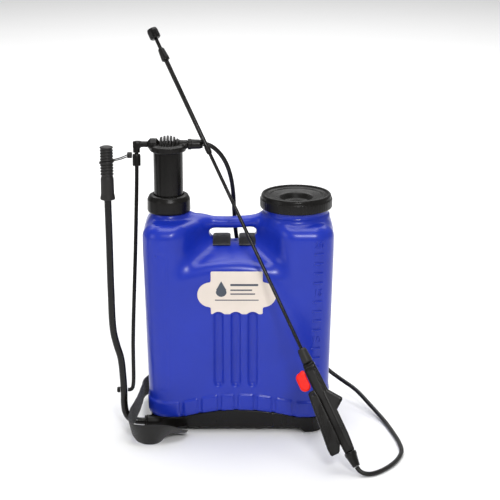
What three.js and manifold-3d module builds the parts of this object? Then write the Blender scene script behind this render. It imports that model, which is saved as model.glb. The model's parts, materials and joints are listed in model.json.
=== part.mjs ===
// Backpack (knapsack) sprayer: a blow-moulded tank on a base, a side lever that works a piston
// pump through a link rod, a screw cap with a filter basket, carrying straps, and a spray lance
// on a hose. Millimetres; +X right, +Y towards the wearer's back, +Z up.
// Inside the "tank frame" X = Y = 0 is the tank's centre; the whole group is then shifted so
// that the origin is under the middle of the object.
import * as THREE from 'three';
import { mergeVertices } from 'three/addons/utils/BufferGeometryUtils.js';
import Module from 'manifold-3d';

const wasm = await Module();
wasm.setup();

// ---------------------------------------------------------------- driving dimensions
const FRAME_SHIFT = [18.43, 88.69, 0];
const GAP = 0.3;

const TANK = {
  halfTop: 192, halfFoot: 184, halfDepth: 92, corner: 40, hollowBack: 28, wall: 4,
  top: 437, widest: 380, shoulderX: 150, footSide: 38, footRise: 24,
};
const SADDLE = { left: -117, right: 89, crest: 388, crestHalf: 12, ledge: 354, barTop: 438, barLow: 414 };
const TOWERS = { pump: 43, filler: 70 };
const FINGER_GAP = { left: -60, right: 37 };
const FLUTES = { centres: [-40, -5, 29], halfWidth: 9, low: 103, high: 257, deep: 2.5 };
const SIGHT_SLOT = { centre: -155, halfWidth: 11, low: 91, high: 386 };
const BASE = { halfWidth: 182, halfDepth: 89, wall: 4, clearance: 11, footX: 126, footY: 44, padHeight: 8 };
const SCREWS = { x: 100, y: 50, shank: 2.5, head: 6, headLow: 36, headHigh: 41.2, tip: 60 };

const PUMP_X = -141;
const PUMP_NECK = { radius: 38, bore: 33.6, top: 468 };
const BARREL = { radius: 33, bore: 30.5, low: 110, top: 476 };
const CHAMBER = { radius: 29.5, wall: 3, low: 212, top: 575 };
const LINK_PIVOT_Z = 588;
const HOSE_END_X = -71;

const LEVER = { y: -74, axleZ: 19, crank: 70, radius: 7.25, gripX: -257, gripLow: 494, gripTop: 601 };
const ROD = { topX: -204, lowX: -216, radius: 4 };

const FILLER_X = 117;
const FILLER_NECK = { radius: 65, bore: 59, top: 472 };
const CAP = { radius: 73, low: 459, top: 486 };

const STRAP = { loops: [-34, 19], width: 36, padWidth: 54, padThick: 12, webThick: 2.2, lowWidth: 44 };

const LANCE_TAIL = [228.8, -287, 18];
const LANCE_TIP = [-175, 84, 806];
const HOSE_RADIUS = 4.5;
const TRIGGER = { pinX: -16.5, pinZ: 159.5, handleHalf: 9.3 };

// ---------------------------------------------------------------- finishes
const FINISHES = {
  blueTank: [0x1f41c4, 0.32, 0],
  blackPlastic: [0x1b1a19, 0.5, 0],
  blackTube: [0x141414, 0.35, 0],
  hoseRubber: [0x121212, 0.6, 0],
  webbing: [0x191817, 0.9, 0],
  pad: [0x1d1c1b, 0.85, 0],
  redPlastic: [0xe03020, 0.4, 0],
  label: [0xefe6d2, 0.6, 0],
  steel: [0xb4b6b8, 0.3, 0.9],
  clearPlastic: [0xd8d8d0, 0.4, 0],
  rubber: [0x222222, 0.8, 0],
};

function finish(name) {
  const [color, roughness, metalness] = FINISHES[name];
  return new THREE.MeshStandardMaterial({ color, roughness, metalness });
}

// ---------------------------------------------------------------- solids
// A closed mesh's signed volume is positive when its faces point outwards.
function signedVolume(positions, triangles) {
  const [a, b, c] = [new THREE.Vector3(), new THREE.Vector3(), new THREE.Vector3()];
  let volume = 0;
  for (let i = 0; i < triangles.length; i += 3) {
    a.fromArray(positions, 3 * triangles[i]);
    b.fromArray(positions, 3 * triangles[i + 1]);
    c.fromArray(positions, 3 * triangles[i + 2]);
    volume += a.dot(b.cross(c)) / 6;
  }
  return volume;
}

// Merges a geometry's shared corners, drops triangles that have collapsed to a line, turns the
// faces outwards, and makes a manifold solid of it.
function solidOf(geometry) {
  geometry.deleteAttribute('normal');
  geometry.deleteAttribute('uv');
  const merged = mergeVertices(geometry, 1e-4);
  const positions = merged.attributes.position.array;
  const index = merged.index.array;
  const kept = [];
  for (let i = 0; i < index.length; i += 3) {
    const [a, b, c] = [index[i], index[i + 1], index[i + 2]];
    if (a !== b && b !== c && c !== a) kept.push(a, b, c);
  }
  if (signedVolume(positions, kept) < 0) kept.reverse();
  const mesh = new wasm.Mesh({
    numProp: 3,
    vertProperties: new Float32Array(positions),
    triVerts: new Uint32Array(kept),
  });
  return new wasm.Manifold(mesh);
}

function addPart(parent, name, finishName, solid) {
  const { vertProperties, triVerts } = solid.getMesh();
  const geometry = new THREE.BufferGeometry();
  geometry.setAttribute('position', new THREE.BufferAttribute(vertProperties, 3));
  geometry.setIndex(new THREE.BufferAttribute(triVerts, 1));
  geometry.computeVertexNormals();
  const mesh = new THREE.Mesh(geometry, finish(finishName));
  mesh.name = name;
  parent.add(mesh);
}

function block(x, y, z) {
  const geometry = new THREE.BoxGeometry(x[1] - x[0], y[1] - y[0], z[1] - z[0]);
  geometry.translate((x[0] + x[1]) / 2, (y[0] + y[1]) / 2, (z[0] + z[1]) / 2);
  return solidOf(geometry);
}

// A profile of [radius, height] points turned about the Z or X axis through the point "at". It
// starts and ends on the axis, or is a ring that closes on itself.
function turned(profile, { segments = 24, axis = 'z', at = [0, 0, 0] } = {}) {
  const points = profile.map(([r, h]) => new THREE.Vector2(r, h));
  if (profile[0][0] > 0) points.push(points[0].clone());
  const geometry = new THREE.LatheGeometry(points, segments);
  if (axis === 'z') geometry.rotateX(Math.PI / 2);
  if (axis === 'x') geometry.rotateZ(-Math.PI / 2);
  geometry.translate(...at);
  return solidOf(geometry);
}

function rod(radius, low, high, place) {
  return turned([[0, low], [radius, low], [radius, high], [0, high]], place);
}

function ring(inner, outer, low, high, place) {
  return turned([[inner, low], [outer, low], [outer, high], [inner, high]], place);
}

// An outline extruded along Y (drawn in X and Z), Z (drawn in X and Y) or X (drawn in Y and Z).
const EXTRUDE_AXES = {
  x: [[0, 1, 0], [0, 0, 1], [1, 0, 0]],
  y: [[1, 0, 0], [0, 0, 1], [0, -1, 0]],
  z: [[1, 0, 0], [0, 1, 0], [0, 0, 1]],
};

function prism(shape, axis, low, high, curveSegments = 6) {
  const geometry = new THREE.ExtrudeGeometry(shape, { depth: high - low, bevelEnabled: false, curveSegments });
  if (axis === 'y') geometry.translate(0, 0, -high);
  else geometry.translate(0, 0, low);
  const directions = EXTRUDE_AXES[axis].map((v) => new THREE.Vector3(...v));
  geometry.applyMatrix4(new THREE.Matrix4().makeBasis(...directions));
  return solidOf(geometry);
}

function polygon(points) {
  return new THREE.Shape(points.map(([a, b]) => new THREE.Vector2(a, b)));
}

function stadium(centre, halfWidth, low, high) {
  const shape = new THREE.Shape();
  shape.absarc(centre, high - halfWidth, halfWidth, 0, Math.PI, false);
  shape.absarc(centre, low + halfWidth, halfWidth, Math.PI, 2 * Math.PI, false);
  return shape;
}

function curveThrough(points) {
  return new THREE.CatmullRomCurve3(points.map((p) => new THREE.Vector3(...p)), false, 'centripetal');
}

function sweep(points, radius, sides, step) {
  const curve = curveThrough(points);
  const section = new THREE.Shape();
  for (let i = 0; i < sides; i += 1) {
    const angle = (2 * Math.PI * i) / sides;
    const corner = [radius * Math.cos(angle), radius * Math.sin(angle)];
    if (i === 0) section.moveTo(...corner);
    else section.lineTo(...corner);
  }
  const steps = Math.max(4, Math.round(curve.getLength() / step));
  return solidOf(new THREE.ExtrudeGeometry(section, { steps, extrudePath: curve }));
}

// Webbing or a pad: a box bent along a curve. Each route point gives the centre line's place and
// the direction across the band, which is squared to the curve.
function band(route, width, thickness, steps) {
  const curve = curveThrough(route.map(([place]) => place));
  const across = curveThrough(route.map(([, direction]) => direction));
  const geometry = new THREE.BoxGeometry(width, thickness, 1, 1, 1, steps);
  const place = geometry.attributes.position;
  for (let i = 0; i < place.count; i += 1) {
    const u = THREE.MathUtils.clamp(place.getZ(i) + 0.5, 0, 1);
    const tangent = curve.getTangent(u);
    const side = across.getPoint(u);
    side.addScaledVector(tangent, -side.dot(tangent)).normalize();
    const normal = new THREE.Vector3().crossVectors(tangent, side);
    const point = curve.getPoint(u).addScaledVector(side, place.getX(i)).addScaledVector(normal, place.getY(i));
    place.setXYZ(i, point.x, point.y, point.z);
  }
  return solidOf(geometry);
}

// ---------------------------------------------------------------- tank and base
// Plan outline: a rounded rectangle whose long back side is hollowed towards the wearer's back.
function planOutline(halfWidth, halfDepth, corner) {
  const shape = new THREE.Shape();
  const [x, y] = [halfWidth - corner, halfDepth - corner];
  shape.absarc(-x, -y, corner, Math.PI, 1.5 * Math.PI, false);
  shape.absarc(x, -y, corner, -0.5 * Math.PI, 0, false);
  shape.absarc(x, y, corner, 0, 0.5 * Math.PI, false);
  shape.quadraticCurveTo(0, halfDepth - TANK.hollowBack, -x, halfDepth);
  shape.absarc(-x, y, corner, 0.5 * Math.PI, Math.PI, false);
  return shape;
}

// The tank's front view, brought in on every side by "inset": it widens upwards, the shoulders
// are round, and the lower edge is arched over the base.
function frontOutline(inset) {
  const [foot, wide] = [TANK.halfFoot - inset, TANK.halfTop - inset];
  const low = TANK.footSide + inset;
  const top = TANK.top - inset;
  const shape = new THREE.Shape();
  shape.moveTo(foot, low);
  shape.lineTo(wide, TANK.widest);
  shape.quadraticCurveTo(wide - 1, top - 8, TANK.shoulderX, top);
  shape.lineTo(-TANK.shoulderX, top);
  shape.quadraticCurveTo(1 - wide, top - 8, -wide, TANK.widest);
  shape.lineTo(-foot, low);
  shape.quadraticCurveTo(0, low + TANK.footRise, foot, low);
  return shape;
}

// The saddle in front of and behind the carrying handle slopes down from its crest.
function saddleCutter(side, inset) {
  const outline = polygon([
    [side * (SADDLE.crestHalf + inset), SADDLE.crest - inset],
    [side * 110, SADDLE.ledge - inset],
    [side * 110, TANK.top + 40],
    [side * 6, TANK.top + 40],
    [side * 6, SADDLE.barTop],
    [side * SADDLE.crestHalf, SADDLE.barTop - 7],
  ]);
  return prism(outline, 'x', SADDLE.left - inset, SADDLE.right + inset);
}

// Round towers stand under the two necks, and the saddle stops against them.
function towers(inset) {
  const [low, high] = [SADDLE.ledge - 20, TANK.top + 1];
  return rod(TOWERS.pump - inset, low, high, { segments: 32, at: [PUMP_X, 0, 0] })
    .add(rod(TOWERS.filler - inset, low, high, { segments: 36, at: [FILLER_X, 0, 0] }));
}

function tankForm(inset) {
  const depth = TANK.halfDepth - inset;
  const plan = planOutline(TANK.halfTop - inset, depth, TANK.corner - inset);
  const cutters = saddleCutter(-1, inset).add(saddleCutter(1, inset));
  return prism(frontOutline(inset), 'y', -depth, depth)
    .intersect(prism(plan, 'z', 0, TANK.top + 1))
    .subtract(cutters.subtract(towers(inset)));
}

function tankShell() {
  const { wall, halfDepth } = TANK;
  const handleRoom = block(
    [SADDLE.left - wall, SADDLE.right + wall], [-100, 100], [SADDLE.crest - wall, TANK.top + 1],
  );
  let inside = tankForm(wall).subtract(handleRoom.subtract(towers(wall)));
  let shell = tankForm(0)
    .add(rod(PUMP_NECK.radius, TANK.top - 12, PUMP_NECK.top, { segments: 32, at: [PUMP_X, 0, 0] }))
    .add(rod(FILLER_NECK.radius, TANK.top - 12, FILLER_NECK.top, { segments: 36, at: [FILLER_X, 0, 0] }))
    .subtract(block([FINGER_GAP.left, FINGER_GAP.right], [-20, 20], [SADDLE.crest, SADDLE.barLow]));
  for (const x of [-SCREWS.x, SCREWS.x]) {
    for (const y of [-SCREWS.y, SCREWS.y]) {
      inside = inside.subtract(rod(10, TANK.footSide, SCREWS.tip + 8, { segments: 8, at: [x, y, 0] }));
      shell = shell.subtract(rod(SCREWS.shank + GAP, 0, SCREWS.tip + 2, { segments: 8, at: [x, y, 0] }));
    }
  }
  const face = -halfDepth;
  for (const x of FLUTES.centres) {
    const flute = stadium(x, FLUTES.halfWidth, FLUTES.low, FLUTES.high);
    shell = shell.subtract(prism(flute, 'y', face - 5, face + FLUTES.deep, 4));
  }
  const slot = stadium(SIGHT_SLOT.centre, SIGHT_SLOT.halfWidth, SIGHT_SLOT.low, SIGHT_SLOT.high);
  shell = shell.subtract(prism(slot, 'y', face - 5, face + FLUTES.deep, 4));
  return shell
    .subtract(inside)
    .subtract(rod(PUMP_NECK.bore, TANK.top - 30, PUMP_NECK.top + 1, { segments: 32, at: [PUMP_X, 0, 0] }))
    .subtract(rod(FILLER_NECK.bore, TANK.top - 30, FILLER_NECK.top + 1, { segments: 36, at: [FILLER_X, 0, 0] }));
}

// The label: a plate with straight flanks, a rounded lobe on each side and a scalloped lower edge.
function labelPlate() {
  const shape = new THREE.Shape();
  shape.moveTo(-55, 352);
  shape.lineTo(-55, 330);
  shape.bezierCurveTo(-66, 328, -83, 322, -83, 304);
  shape.bezierCurveTo(-83, 286, -66, 280, -55, 278);
  shape.lineTo(-55, 262);
  shape.quadraticCurveTo(-40, 282, -25, 262);
  shape.quadraticCurveTo(-5, 282, 14, 262);
  shape.quadraticCurveTo(29, 282, 49, 262);
  shape.lineTo(49, 278);
  shape.bezierCurveTo(60, 280, 77, 286, 77, 304);
  shape.bezierCurveTo(77, 322, 60, 328, 49, 330);
  shape.lineTo(49, 352);
  return prism(shape, 'y', -TANK.halfDepth - GAP - 1.2, -TANK.halfDepth - GAP, 6);
}

const AXLE_BOSS = { radius: 13, left: -190, right: -150 };

function baseOutline(inset) {
  const half = BASE.halfWidth - inset;
  const low = inset > 0 ? -1 : 0;
  const top = TANK.footSide - GAP - inset;
  const shape = new THREE.Shape();
  shape.moveTo(-half, low);
  shape.lineTo(half, low);
  shape.lineTo(half, top);
  shape.quadraticCurveTo(0, top + TANK.footRise, -half, top);
  return shape;
}

function baseForm(inset) {
  const depth = BASE.halfDepth - inset;
  const plan = planOutline(BASE.halfWidth - inset, depth, TANK.corner - 2 - inset);
  return prism(baseOutline(inset), 'y', -depth, depth).intersect(prism(plan, 'z', -1, TANK.top));
}

function baseStand() {
  const { clearance, footX, footY, padHeight, halfWidth, halfDepth, wall } = BASE;
  const boss = { axis: 'x', segments: 20, at: [0, LEVER.y, LEVER.axleZ] };
  let base = baseForm(0).subtract(baseForm(wall));
  for (const sx of [-1, 1]) {
    for (const sy of [-1, 1]) {
      const x = [footX + 4, halfWidth - 10].map((v) => sx * v).sort((a, b) => a - b);
      const y = [footY + 6, halfDepth - 12].map((v) => sy * v).sort((a, b) => a - b);
      base = base.add(block(x, y, [0, padHeight]));
      const side = [sx * SCREWS.x, sy * SCREWS.y, 0];
      base = base.subtract(rod(SCREWS.shank + GAP, 20, 60, { segments: 8, at: side }));
    }
  }
  return base
    .subtract(block([-footX, footX], [-100, 100], [-2, clearance]))
    .subtract(block([-200, 200], [-footY, footY], [-2, clearance]))
    .add(rod(AXLE_BOSS.radius, AXLE_BOSS.left, AXLE_BOSS.right, boss))
    .subtract(rod(9.3, AXLE_BOSS.left - 1, AXLE_BOSS.right + 20, boss));
}

function addTank(body) {
  addPart(body, 'tank_shell', 'blueTank', tankShell());
  addPart(body, 'label_plate', 'label', labelPlate());
  addPart(body, 'base_stand', 'blackPlastic', baseStand());
  let count = 0;
  for (const x of [-SCREWS.x, SCREWS.x]) {
    for (const y of [-SCREWS.y, SCREWS.y]) {
      count += 1;
      const profile = [
        [0, SCREWS.headLow], [SCREWS.head, SCREWS.headLow], [SCREWS.head, SCREWS.headHigh],
        [SCREWS.shank, SCREWS.headHigh], [SCREWS.shank, SCREWS.tip], [0, SCREWS.tip],
      ];
      addPart(body, `base_screw_${count}`, 'steel', turned(profile, { segments: 12, at: [x, y, 0] }));
    }
  }
  const bush = { axis: 'x', segments: 20, at: [0, LEVER.y, LEVER.axleZ] };
  addPart(body, 'lever_bush', 'blackPlastic', turned(
    [[7.9, -194], [12, -194], [12, -190.3], [9, -190.3], [9, -149.3], [7.9, -149.3]], bush,
  ));
}

// ---------------------------------------------------------------- pump
function addPump(body) {
  const at = [PUMP_X, 0, 0];
  const fine = { segments: 32, at };
  const { radius, bore, low, top } = BARREL;
  addPart(body, 'pump_barrel', 'clearPlastic', turned([
    [8, low], [radius, low], [radius, top - 5.2], [37.5, top - 5.2], [37.5, top], [bore, top],
    [bore, low + 4], [8, low + 4],
  ], fine));
  addPart(body, 'barrel_gasket', 'rubber', ring(34, 37.5, PUMP_NECK.top + GAP, top - 5.5, fine));
  addPart(body, 'collar_nut', 'blackPlastic', turned([
    [bore, 486], [35.5, 486], [43.5, 476.5], [43.5, 450], [38.6, 450], [38.6, top + GAP], [bore, top + GAP],
  ], fine));
  addPart(body, 'inlet_valve_seat', 'blackPlastic', turned([
    [5, low + 4.3], [30, low + 4.3], [30, low + 9], [10, low + 12], [5, low + 12],
  ], { segments: 20, at }));
  const ball = new THREE.SphereGeometry(7, 14, 10);
  ball.translate(PUMP_X, 0, low + 17.5);
  addPart(body, 'inlet_valve_ball', 'steel', solidOf(ball));
}

function addAirChamber(body) {
  const at = [PUMP_X, 0, 0];
  const fine = { segments: 32, at };
  const { radius, wall, low, top } = CHAMBER;
  addPart(body, 'air_chamber', 'blackPlastic', turned([
    [4, top - 4], [radius - wall, top - 4], [radius - wall, low + 4], [6, low + 4], [6, low],
    [radius, low], [radius, top], [4, top],
  ], fine));
  addPart(body, 'piston_seal', 'rubber', turned([
    [4, low - 0.3], [30.2, low - 0.3], [30.2, low - 7], [26, low - 7], [24, low - 3.5], [4, low - 3.5],
  ], fine));
  const alongX = { axis: 'x', segments: 16, at: [0, 0, LINK_PIVOT_Z] };
  const cap = turned([
    [0, top + GAP], [36, top + GAP], [36, 584], [32, 587.5], [31, 596], [25, 603], [13, 607.5], [0, 608.5],
  ], fine)
    .add(rod(12.2, -182, -158, { ...alongX, segments: 8 }))
    .add(rod(9, -125, -101.3, alongX))
    .subtract(rod(4.3, -183, -167, alongX))
    .subtract(rod(4, PUMP_X, -100, alongX))
    .subtract(rod(4, top - 1, LINK_PIVOT_Z, { segments: 12, at }));
  addPart(body, 'chamber_cap', 'blackPlastic', cap);
  addPart(body, 'hose_nut', 'blackPlastic', turned([
    [4.2, -101], [10.6, -101], [11, -99], [11, -94], [9.6, -75], [7.4, HOSE_END_X], [4.2, HOSE_END_X],
  ], alongX));
}

// The link hangs from the chamber's left boss. It is drawn hanging straight down from its pivot,
// then its group is tilted until its lower end meets the lever's crank pin.
const CRANK_DROP = LINK_PIVOT_Z - LEVER.axleZ - LEVER.crank;
const LINK_LENGTH = Math.hypot(CRANK_DROP, LEVER.y);

function addLink(body) {
  const link = new THREE.Group();
  link.position.set(0, 0, LINK_PIVOT_Z);
  link.rotation.x = -Math.atan2(-LEVER.y, CRANK_DROP);
  body.add(link);
  const alongX = { axis: 'x', segments: 14 };
  const down = { segments: 14, at: [ROD.topX, 0, 0] };
  const elbow = rod(5.6, ROD.topX, -182.4, alongX)
    .add(rod(4, -184, -169, alongX))
    .add(rod(6.6, -17, 5.8, down))
    .subtract(rod(ROD.radius + GAP, -18, -12, down));
  addPart(link, 'link_elbow', 'blackPlastic', elbow);
  addPart(link, 'rod_sleeve', 'blackPlastic', ring(ROD.radius + GAP, 8.2, -43.5, -19.5, down));
  const bottom = -LINK_LENGTH;
  addPart(link, 'link_rod', 'steel', sweep([
    [ROD.topX, 0, -12.4], [ROD.topX, 0, -60], [ROD.topX - 4, 0, -200], [ROD.lowX + 0.6, 0, -400],
    [ROD.lowX, 0, bottom + 14], [ROD.lowX - 3, 0, bottom + 3.5], [-221.5, 0, bottom], [-227.2, 0, bottom],
  ], ROD.radius, 8, 12));
}

// ---------------------------------------------------------------- lever
function addLever(body) {
  const { y, axleZ, crank, radius, gripX, gripLow, gripTop } = LEVER;
  const route = [
    [-143, 19], [-172, 19], [-198, 19], [-212, 20.3], [-225, 26], [-232.5, 38], [-235.4, 54], [-235.5, 89], [-236.5, 115],
    [-240, 158], [-247.6, 187], [-253.8, 219], [-256, 300], [-256.4, 410], [gripX, 500], [gripX, gripTop - 11],
  ];
  addPart(body, 'pump_lever', 'blackTube', sweep(route.map(([x, z]) => [x, y, z]), radius, 12, 17));
  addPart(body, 'lever_grip', 'rubber', turned([
    [0, gripTop], [11, gripTop], [13, gripTop - 3], [13, gripLow + 6], [15, gripLow], [7.6, gripLow],
    [7.6, gripTop - 9], [0, gripTop - 9],
  ], { at: [gripX, y, 0] }));
  const axle = { axis: 'x', segments: 20, at: [0, y, axleZ] };
  addPart(body, 'axle_clip', 'steel', ring(7.55, 10, -148.6, -144.5, axle));
  const pin = { axis: 'x', segments: 14, at: [0, y, axleZ + crank] };
  addPart(body, 'link_pin', 'steel', turned([
    [0, -249.5], [4.5, -249.5], [6, -248], [6, -243.2], [0, -243.2],
  ], pin));
  const tie = ring(13.3, 15, 566, 573, { segments: 20, at: [gripX, y, 0] })
    .add(sweep([[-249, -62, 569.5], [-233, -36, 569], [-218, -10, 568]], 1.6, 8, 12))
    .add(ring(2.5, 6.5, -222.5, -213, { axis: 'x', segments: 16, at: [0, -6, 567] }));
  addPart(body, 'retaining_tie', 'blackPlastic', tie);
}

// ---------------------------------------------------------------- filler
function addFiller(body) {
  const at = [FILLER_X, 0, 0];
  const fine = { segments: 32, at };
  const rim = FILLER_NECK.top + GAP;
  let basket = turned([
    [0, 388], [54, 388], [57.5, rim], [64.5, rim], [64.5, rim + 2], [55.5, rim + 2], [52, 390], [0, 390],
  ], fine);
  const [x, reach, slot, z] = [FILLER_X, 70, 13, [405, 455]];
  basket = basket
    .subtract(block([x - reach, x + reach], [-slot, slot], z))
    .subtract(block([x - slot, x + slot], [-reach, reach], z));
  addPart(body, 'filter_basket', 'blackPlastic', basket);
  addPart(body, 'cap_seal', 'rubber', ring(57, 64.5, rim + 2.3, rim + 4.3, fine));
  addPart(body, 'filler_cap', 'blackPlastic', turned([
    [0, 464], [27.5, 464], [34.5, 477], [66.4, 477], [66.4, CAP.low], [CAP.radius, CAP.low],
    [CAP.radius, CAP.top - 7], [69.5, CAP.top], [64, CAP.top], [59, 482.5], [38, 480.5], [33, 478.5],
    [27, 468], [0, 468],
  ], { segments: 36, at }));
  addPart(body, 'cap_vent', 'rubber', turned([
    [0, 452], [2.5, 452], [5, 459], [5, 463.7], [0, 463.7],
  ], { segments: 12, at }));
}

// ---------------------------------------------------------------- carrying straps
const ACROSS_X = [1, 0, 0];
const ACROSS_LEFT = [-1, 0, 0];
const ON_EDGE = [0, 0, -1];

function addStraps(body) {
  const { loops, width, padWidth, padThick, webThick, lowWidth } = STRAP;
  const ends = [];
  loops.forEach((x, i) => {
    const side = i === 0 ? 'left' : 'right';
    const out = i === 0 ? -1 : 1;
    const loop = [
      [-28, 384.6], [-14, 389.8], [0, 391], [14, 390], [40, 380.8], [80, 367], [93, 360], [100, 349], [103, 338],
    ];
    addPart(body, `top_webbing_${side}`, 'webbing', band(
      loop.map(([y, z]) => [[x, y, z], ACROSS_X]), width, webThick, 22,
    ));
    const pad = [[8, 107, 327], [19, 109, 270], [37, 110, 200], [53, 109, 140]];
    addPart(body, `shoulder_pad_${side}`, 'pad', band(
      pad.map(([dx, y, z]) => [[x + out * dx, y, z], ACROSS_X]), padWidth, padThick, 10,
    ));
    const end = x + out * 56;
    ends.push(end);
    const frame = block([end - 26, end + 26], [105, 111], [106, 132])
      .subtract(block([end - 22.5, end + 22.5], [104, 112], [110, 115]))
      .subtract(block([end - 22.5, end + 22.5], [104, 112], [122, 127]));
    addPart(body, `strap_adjuster_${side}`, 'blackPlastic', frame);
  });
  addPart(body, 'lower_webbing_left', 'webbing', band([
    [[ends[0], 108, 103.5], ACROSS_X], [[ends[0] - 0.6, 108.6, 91], [1, 0, -0.05]],
    [[ends[0] - 20, 111, 64], [0.6, 0, -0.8]], [[ends[0] - 50, 113, 48], [0.2, 0, -0.98]],
    [[-180, 110, 36], ON_EDGE], [[-203, 84, 30], ON_EDGE], [[-207, 30, 34], ON_EDGE],
    [[-207, -40, 48], ON_EDGE], [[-209, -74, 51.5], ON_EDGE], [[-213, -92, 48], ON_EDGE],
    [[-219, -108, 39], ON_EDGE], [[-220, -124, 30], [0.2, 0, -0.98]], [[-211, -141, 25], [0.4, 0, -0.92]],
    [[-193, -151, 23.4], [0.35, 0, -0.94]], [[-172, -151, 23], [0.1, 0, -0.99]],
    [[-152, -143, 21.5], [-0.3, 0.2, -0.93]], [[-136, -127, 16], [-0.75, 0.3, -0.6]],
    [[-128, -112, 9.5], [-0.95, 0.25, -0.15]], [[-125, -99, 9], ACROSS_LEFT],
  ], lowWidth, webThick, 56));
  addPart(body, 'lower_webbing_right', 'webbing', band([
    [[ends[1], 108, 104.5], ACROSS_X], [[ends[1] + 2, 110, 70], ACROSS_X], [[ends[1] + 3, 110, 36], ACROSS_X],
    [[ends[1] + 3, 104, 12], ACROSS_X], [[ends[1] + 3, 92, 4], ACROSS_X], [[ends[1] + 3, 70, 3], ACROSS_X],
  ], lowWidth, webThick, 20));
}

// ---------------------------------------------------------------- lance
// The lance is drawn along +Z from its tail, with the trigger towards -X, in a group that leans
// it from the floor to just in front of the pump's hose nut.
function lanceGroup() {
  const group = new THREE.Group();
  const tail = new THREE.Vector3(...LANCE_TAIL);
  const along = new THREE.Vector3(...LANCE_TIP).sub(tail).normalize();
  const towardsViewer = new THREE.Vector3(0, -1, 0.3);
  const side = new THREE.Vector3().crossVectors(along, towardsViewer).normalize();
  if (side.x < 0) side.negate();
  const face = new THREE.Vector3().crossVectors(along, side);
  group.matrixAutoUpdate = true;
  group.position.copy(tail);
  group.quaternion.setFromRotationMatrix(new THREE.Matrix4().makeBasis(side, face, along));
  return group;
}

const LANCE_LENGTH = new THREE.Vector3(...LANCE_TIP).distanceTo(new THREE.Vector3(...LANCE_TAIL));

function addLance(body) {
  const lance = lanceGroup();
  body.add(lance);
  const grip = polygon([
    [-9.5, 30.5], [9.5, 30.5], [11, 34], [13, 66], [13, 115.5], [31, 127.5], [32, 131.5], [13, 157.5],
    [12.5, 193.5], [11, 220], [-11, 220], [-13, 205.5], [-13, 161.5], [-10, 143.5], [-11, 56],
  ]);
  const pinHole = prism(stadium(TRIGGER.pinX, 2.3, TRIGGER.pinZ - 2.3, TRIGGER.pinZ + 2.3), 'y', -20, 20, 4);
  const lug = prism(polygon([[-11, 149.5], [-21, 153.5], [-21, 165.5], [-12, 168.5]]), 'y', -3.2, 3.2);
  const handle = prism(grip, 'y', -TRIGGER.handleHalf, TRIGGER.handleHalf)
    .add(lug)
    .subtract(rod(3.6, 29, 221.5, { segments: 12 }))
    .subtract(pinHole);
  addPart(lance, 'lance_handle', 'blackPlastic', handle);
  addPart(lance, 'trigger_pin', 'steel', prism(
    stadium(TRIGGER.pinX, 2, TRIGGER.pinZ - 2, TRIGGER.pinZ + 2), 'y', -12, 12, 4,
  ));
  addPart(lance, 'valve_plunger', 'steel', rod(3.2, 143.5, 165.5, { segments: 10 }));
  addPart(lance, 'valve_spring', 'steel', ring(2, 3.2, 169.5, 183.5, { segments: 10 }));
  addPart(lance, 'tail_nut', 'blackPlastic', turned([
    [3.2, 0], [7, 0], [10.5, 22], [11.5, 26], [11.5, 30.2], [3.2, 30.2],
  ], { segments: 16 }));
  addPart(lance, 'lance_nut', 'blackPlastic', turned([
    [3.9, 220.3], [10, 220.3], [10.5, 223.5], [9, 247.5], [7, 250.5], [3.9, 250.5],
  ], { segments: 16 }));
  addPart(lance, 'inner_tube', 'blackTube', ring(2, 3.5, 222.5, 730, { segments: 14 }));

  // The trigger is a channel whose cheeks straddle the handle; its open side faces the handle.
  const cheek = TRIGGER.handleHalf + GAP;
  const channel = polygon([
    [0, 24], [0, 194], [-22.8, 194], [-22.8, 153.5], [-27, 113.5], [-33, 53.5], [-32.5, 24],
  ]);
  const trigger = prism(polygon([
    [-8, 153.5], [-10, 167.5], [-22, 167.5], [-26, 163.5], [-27, 153.5], [-31, 113.5], [-37, 53.5],
    [-36.5, 40], [-34, 37], [-20, 37], [-16.5, 40], [-8, 56],
  ]), 'y', -cheek - 2.6, cheek + 2.6)
    .subtract(prism(channel, 'y', -cheek, cheek))
    .subtract(pinHole);
  addPart(lance, 'trigger_lever', 'blackPlastic', trigger);
  addPart(lance, 'trigger_latch', 'redPlastic', prism(stadium(-24.2, 10.8, 170, 209), 'y', -8, 8, 6));

  addPart(lance, 'outer_tube', 'blackTube', ring(3.9, 4.6, 694.3, 888, { segments: 16 }));
  addPart(lance, 'clamp_collar', 'blackPlastic', turned([
    [3.9, 678], [5.6, 678], [6.5, 681], [6.5, 692], [5.6, 694], [3.9, 694],
  ], { segments: 16 }));
  addPart(lance, 'tip_nut', 'blackPlastic', turned([
    [0, 888.3], [8.2, 888.3], [8.2, 893], [6.5, 914], [4.5, 916], [0, 916],
  ], { segments: 16 }));
  addPart(lance, 'nozzle_stem', 'blackPlastic', rod(3.6, 916.3, 937.7, { segments: 12 }));
  addPart(lance, 'nozzle_cap', 'redPlastic', turned([
    [0, 938], [9, 938], [11, 940], [11, LANCE_LENGTH - 2], [9.5, LANCE_LENGTH], [0, LANCE_LENGTH],
  ], { segments: 16 }));
}

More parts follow.
